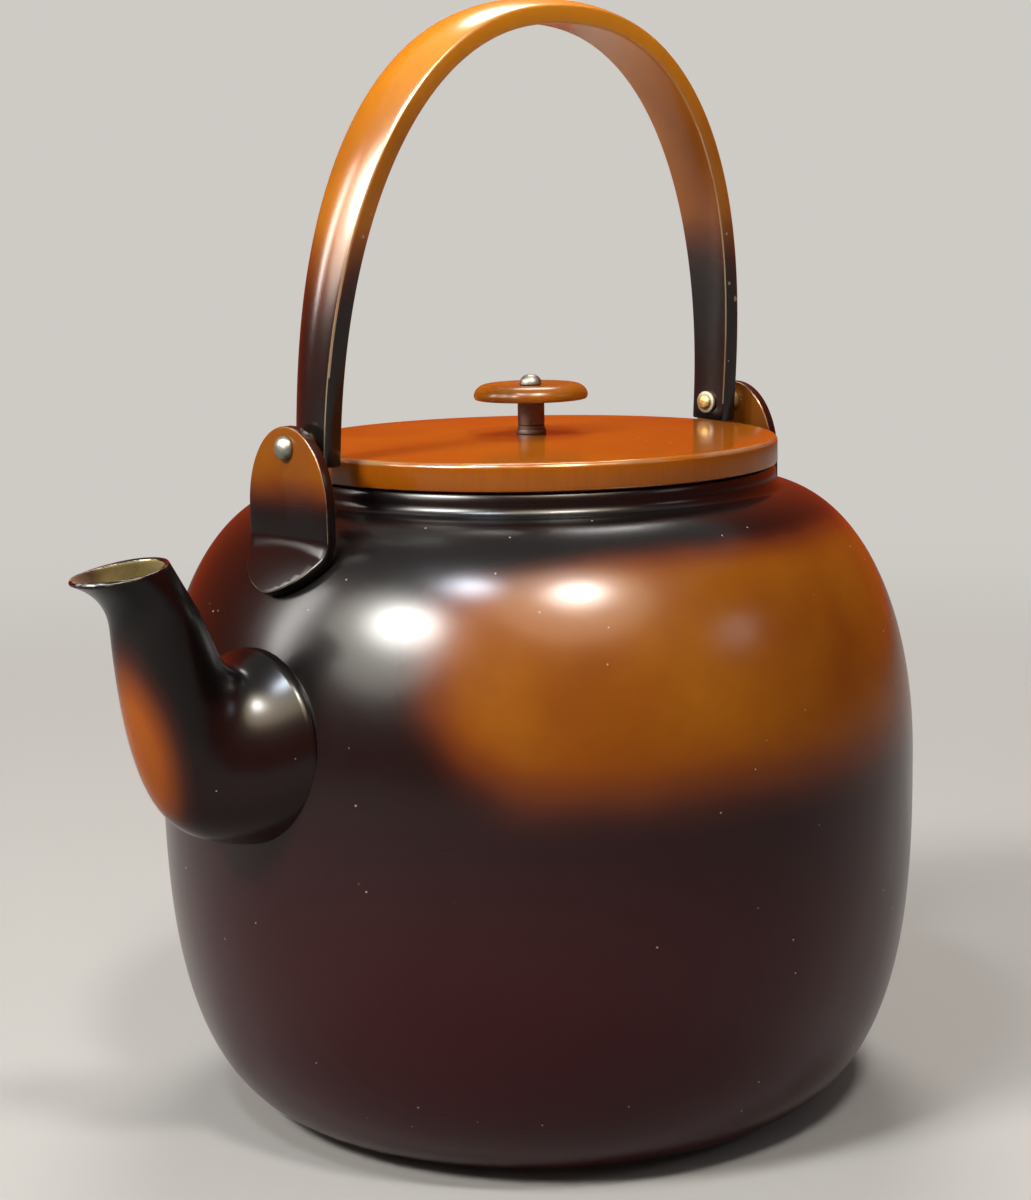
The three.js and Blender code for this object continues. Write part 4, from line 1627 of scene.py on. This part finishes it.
@dataclass
class Studio:
    """A pale floor under a pale sky, soft lamps, a card that reflections show, and the camera."""

    pale: Colour = (0.62, 0.595, 0.56)
    paper: Colour = (0.32, 0.307, 0.289)
    card: Colour = (0.52, 0.060, 0.012)
    card_radius: float = 1.7
    card_height: float = 1.9
    sky_light: float = 0.22
    floor_half: float = 6.0
    floor_fade: Point = (150, 900)
    eye_distance: float = 542.951
    eye_height: float = 199.028
    bearing: float = 44.474
    yaw: float = -0.44044
    pitch: float = 9.37205
    roll: float = 1.10495
    lens: float = 75.0
    sensor: float = 36.0
    nearest: float = 0.01
    aim_height: float = 110
    lamps: tuple[Lamp, ...] = (
        Lamp("key_lamp", 179, 37.5, 0.34, 0.23, 17.0, (1.0, 0.985, 0.95)),
        Lamp("key_glare", 178, 36, 0.52, 0.37, 26.0, (1.0, 0.99, 0.95), True),
        Lamp("key_halo", 174, 32, 0.92, 0.82, 22.0, (1.0, 0.97, 0.86), True),
        Lamp("high_lamp", -166, 59.5, 0.18, 0.12, 4.6, (0.78, 0.88, 1.0)),
        Lamp("high_glare", -166, 58, 0.32, 0.22, 11.0, (0.78, 0.88, 1.0), True),
        Lamp("camera_side_lamp", -114, 56, 0.20, 0.16, 9.0, (1.0, 0.98, 0.94)),
        Lamp("camera_side_glare", -115, 55, 0.37, 0.29, 16.0, (1.0, 0.98, 0.94), True),
        Lamp("camera_side_halo", -118, 52, 0.98, 0.84, 22.0, (1.0, 0.83, 0.55), True),
        Lamp("side_window", -66, 26, 0.34, 0.2, 0.9, (0.84, 0.90, 1.0)),
        Lamp("left_window", 138, 26, 0.20, 0.62, 9.0, (1.0, 0.99, 0.95), True),
        Lamp("ceiling", 40, 58, 0.5, 0.4, 11.0, (1.0, 0.98, 0.95)),
    )

    def sky(self) -> None:
        """Makes the world: even light, and a pale background for the camera and for reflections."""
        world = bpy.data.worlds.new("studio_sky")
        bpy.context.scene.world = world
        world.use_nodes = True
        tree = world.node_tree
        tree.nodes.clear()
        lit = tree.nodes.new("ShaderNodeBackground")
        lit.inputs["Strength"].default_value = self.sky_light
        seen = tree.nodes.new("ShaderNodeBackground")
        seen.inputs["Color"].default_value = (*self.pale, 1)
        path = tree.nodes.new("ShaderNodeLightPath")
        share = path.outputs["Is Camera Ray"]
        for ray in ("Is Glossy Ray", "Is Transmission Ray"):
            either = tree.nodes.new("ShaderNodeMath")
            either.operation = "MAXIMUM"
            tree.links.new(share, either.inputs[0])
            tree.links.new(path.outputs[ray], either.inputs[1])
            share = either.outputs[0]
        mix = tree.nodes.new("ShaderNodeMixShader")
        tree.links.new(share, mix.inputs[0])
        tree.links.new(lit.outputs[0], mix.inputs[1])
        tree.links.new(seen.outputs[0], mix.inputs[2])
        out = tree.nodes.new("ShaderNodeOutputWorld")
        tree.links.new(mix.outputs[0], out.inputs["Surface"])

    def floor(self) -> None:
        """Lays the floor."""
        deselect()
        bpy.ops.mesh.primitive_plane_add(size=2 * self.floor_half, location=(0, 0, 0))
        floor = bpy.context.active_object
        floor.name = "studio_floor"
        palette = Palette("floor_paper")
        paper = palette.shade(base_color=self.paper, roughness=0.8, specular_ior_level=0.2)
        glow = palette.node("ShaderNodeEmission", {}, {"Color": (*self.pale, 1), "Strength": 1.0})
        path = palette.node("ShaderNodeLightPath", {}, {})
        far = palette.radius.rise(*self.floor_fade) * Shade(palette, path.outputs["Is Camera Ray"])
        mixed = palette.node("ShaderNodeMixShader", {},
                             {0: far, 1: palette.shader.outputs[0], 2: glow.outputs[0]})
        out = palette.tree.nodes["Material Output"]
        palette.tree.links.new(mixed.outputs[0], out.inputs["Surface"])
        paint(floor, paper)

    def card_ring(self) -> None:
        """Stands a warm card round the set, which only reflections show, so that the lacquer stays deep."""
        deselect()
        bpy.ops.mesh.primitive_cylinder_add(vertices=96, radius=self.card_radius, depth=self.card_height,
                                            end_fill_type="NOTHING", location=(0, 0, self.card_height / 2))
        ring = bpy.context.active_object
        ring.name = "studio_card"
        palette = Palette("card_paper")
        material = palette.shade(base_color=(0, 0, 0), roughness=1.0, specular_ior_level=0.0,
                                 emission_color=self.card, emission_strength=1.0)
        material.cycles.emission_sampling = "NONE"
        paint(ring, material)
        for ray in ("camera", "diffuse", "transmission", "shadow"):
            setattr(ring, f"visible_{ray}", False)

    def camera(self) -> None:
        """Adds the camera where the photograph was taken, found by fitting the outlines."""
        yaw, pitch, roll = (math.radians(value) for value in (self.yaw, self.pitch, self.roll))
        level = math.cos(pitch)
        forward = Vector((math.sin(yaw) * level, math.cos(yaw) * level, -math.sin(pitch)))
        right = Vector((math.cos(yaw), -math.sin(yaw), 0))
        down = forward.cross(right)
        turned_right = right * math.cos(roll) + down * math.sin(roll)
        turned_down = down * math.cos(roll) - right * math.sin(roll)
        axes = Matrix((turned_right, -turned_down, -forward)).transposed().to_4x4()
        place = Matrix.Translation(Vector((0, -self.eye_distance, self.eye_height)) * MM)
        data = bpy.data.cameras.new("photo_camera")
        data.lens = self.lens
        data.sensor_width = self.sensor
        data.clip_start = self.nearest
        camera = bpy.data.objects.new("photo_camera", data)
        bpy.context.scene.collection.objects.link(camera)
        camera.matrix_world = Matrix.Rotation(-math.radians(self.bearing), 4, "Z") @ place @ axes
        bpy.context.scene.camera = camera

    def build(self) -> None:
        """Sets the studio up."""
        bpy.context.scene.view_settings.view_transform = "Standard"
        self.sky()
        self.floor()
        self.card_ring()
        self.camera()
        for lamp in self.lamps:
            lamp.build(Vector((0, 0, self.aim_height * MM)))


def main() -> None:
    """Builds the studio and the kettle, piece by piece."""
    logging.basicConfig(level=logging.INFO, format="%(message)s")
    Studio().build()
    body = Body()
    body.build()
    Spout(body).build()
    rivet_low, rivet_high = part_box("rear_rivet")
    rivet_height = (rivet_low.z + rivet_high.z) / 2 / MM
    handle = ArchHandle(rivet_height)
    leg_outer = handle.leg_inner + handle.leg_thickness
    ear = Ear(body, rivet_height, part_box("rear_ear")[0].x / MM)
    ear.build()
    HandleRivets(rivet_height, handle.leg_inner, leg_outer, ear.inner_face + ear.thickness).build()
    handle.build()
    lid = Lid(body)
    lid.build()
    Knob(lid).build()


if __name__ == "__main__":
    main()
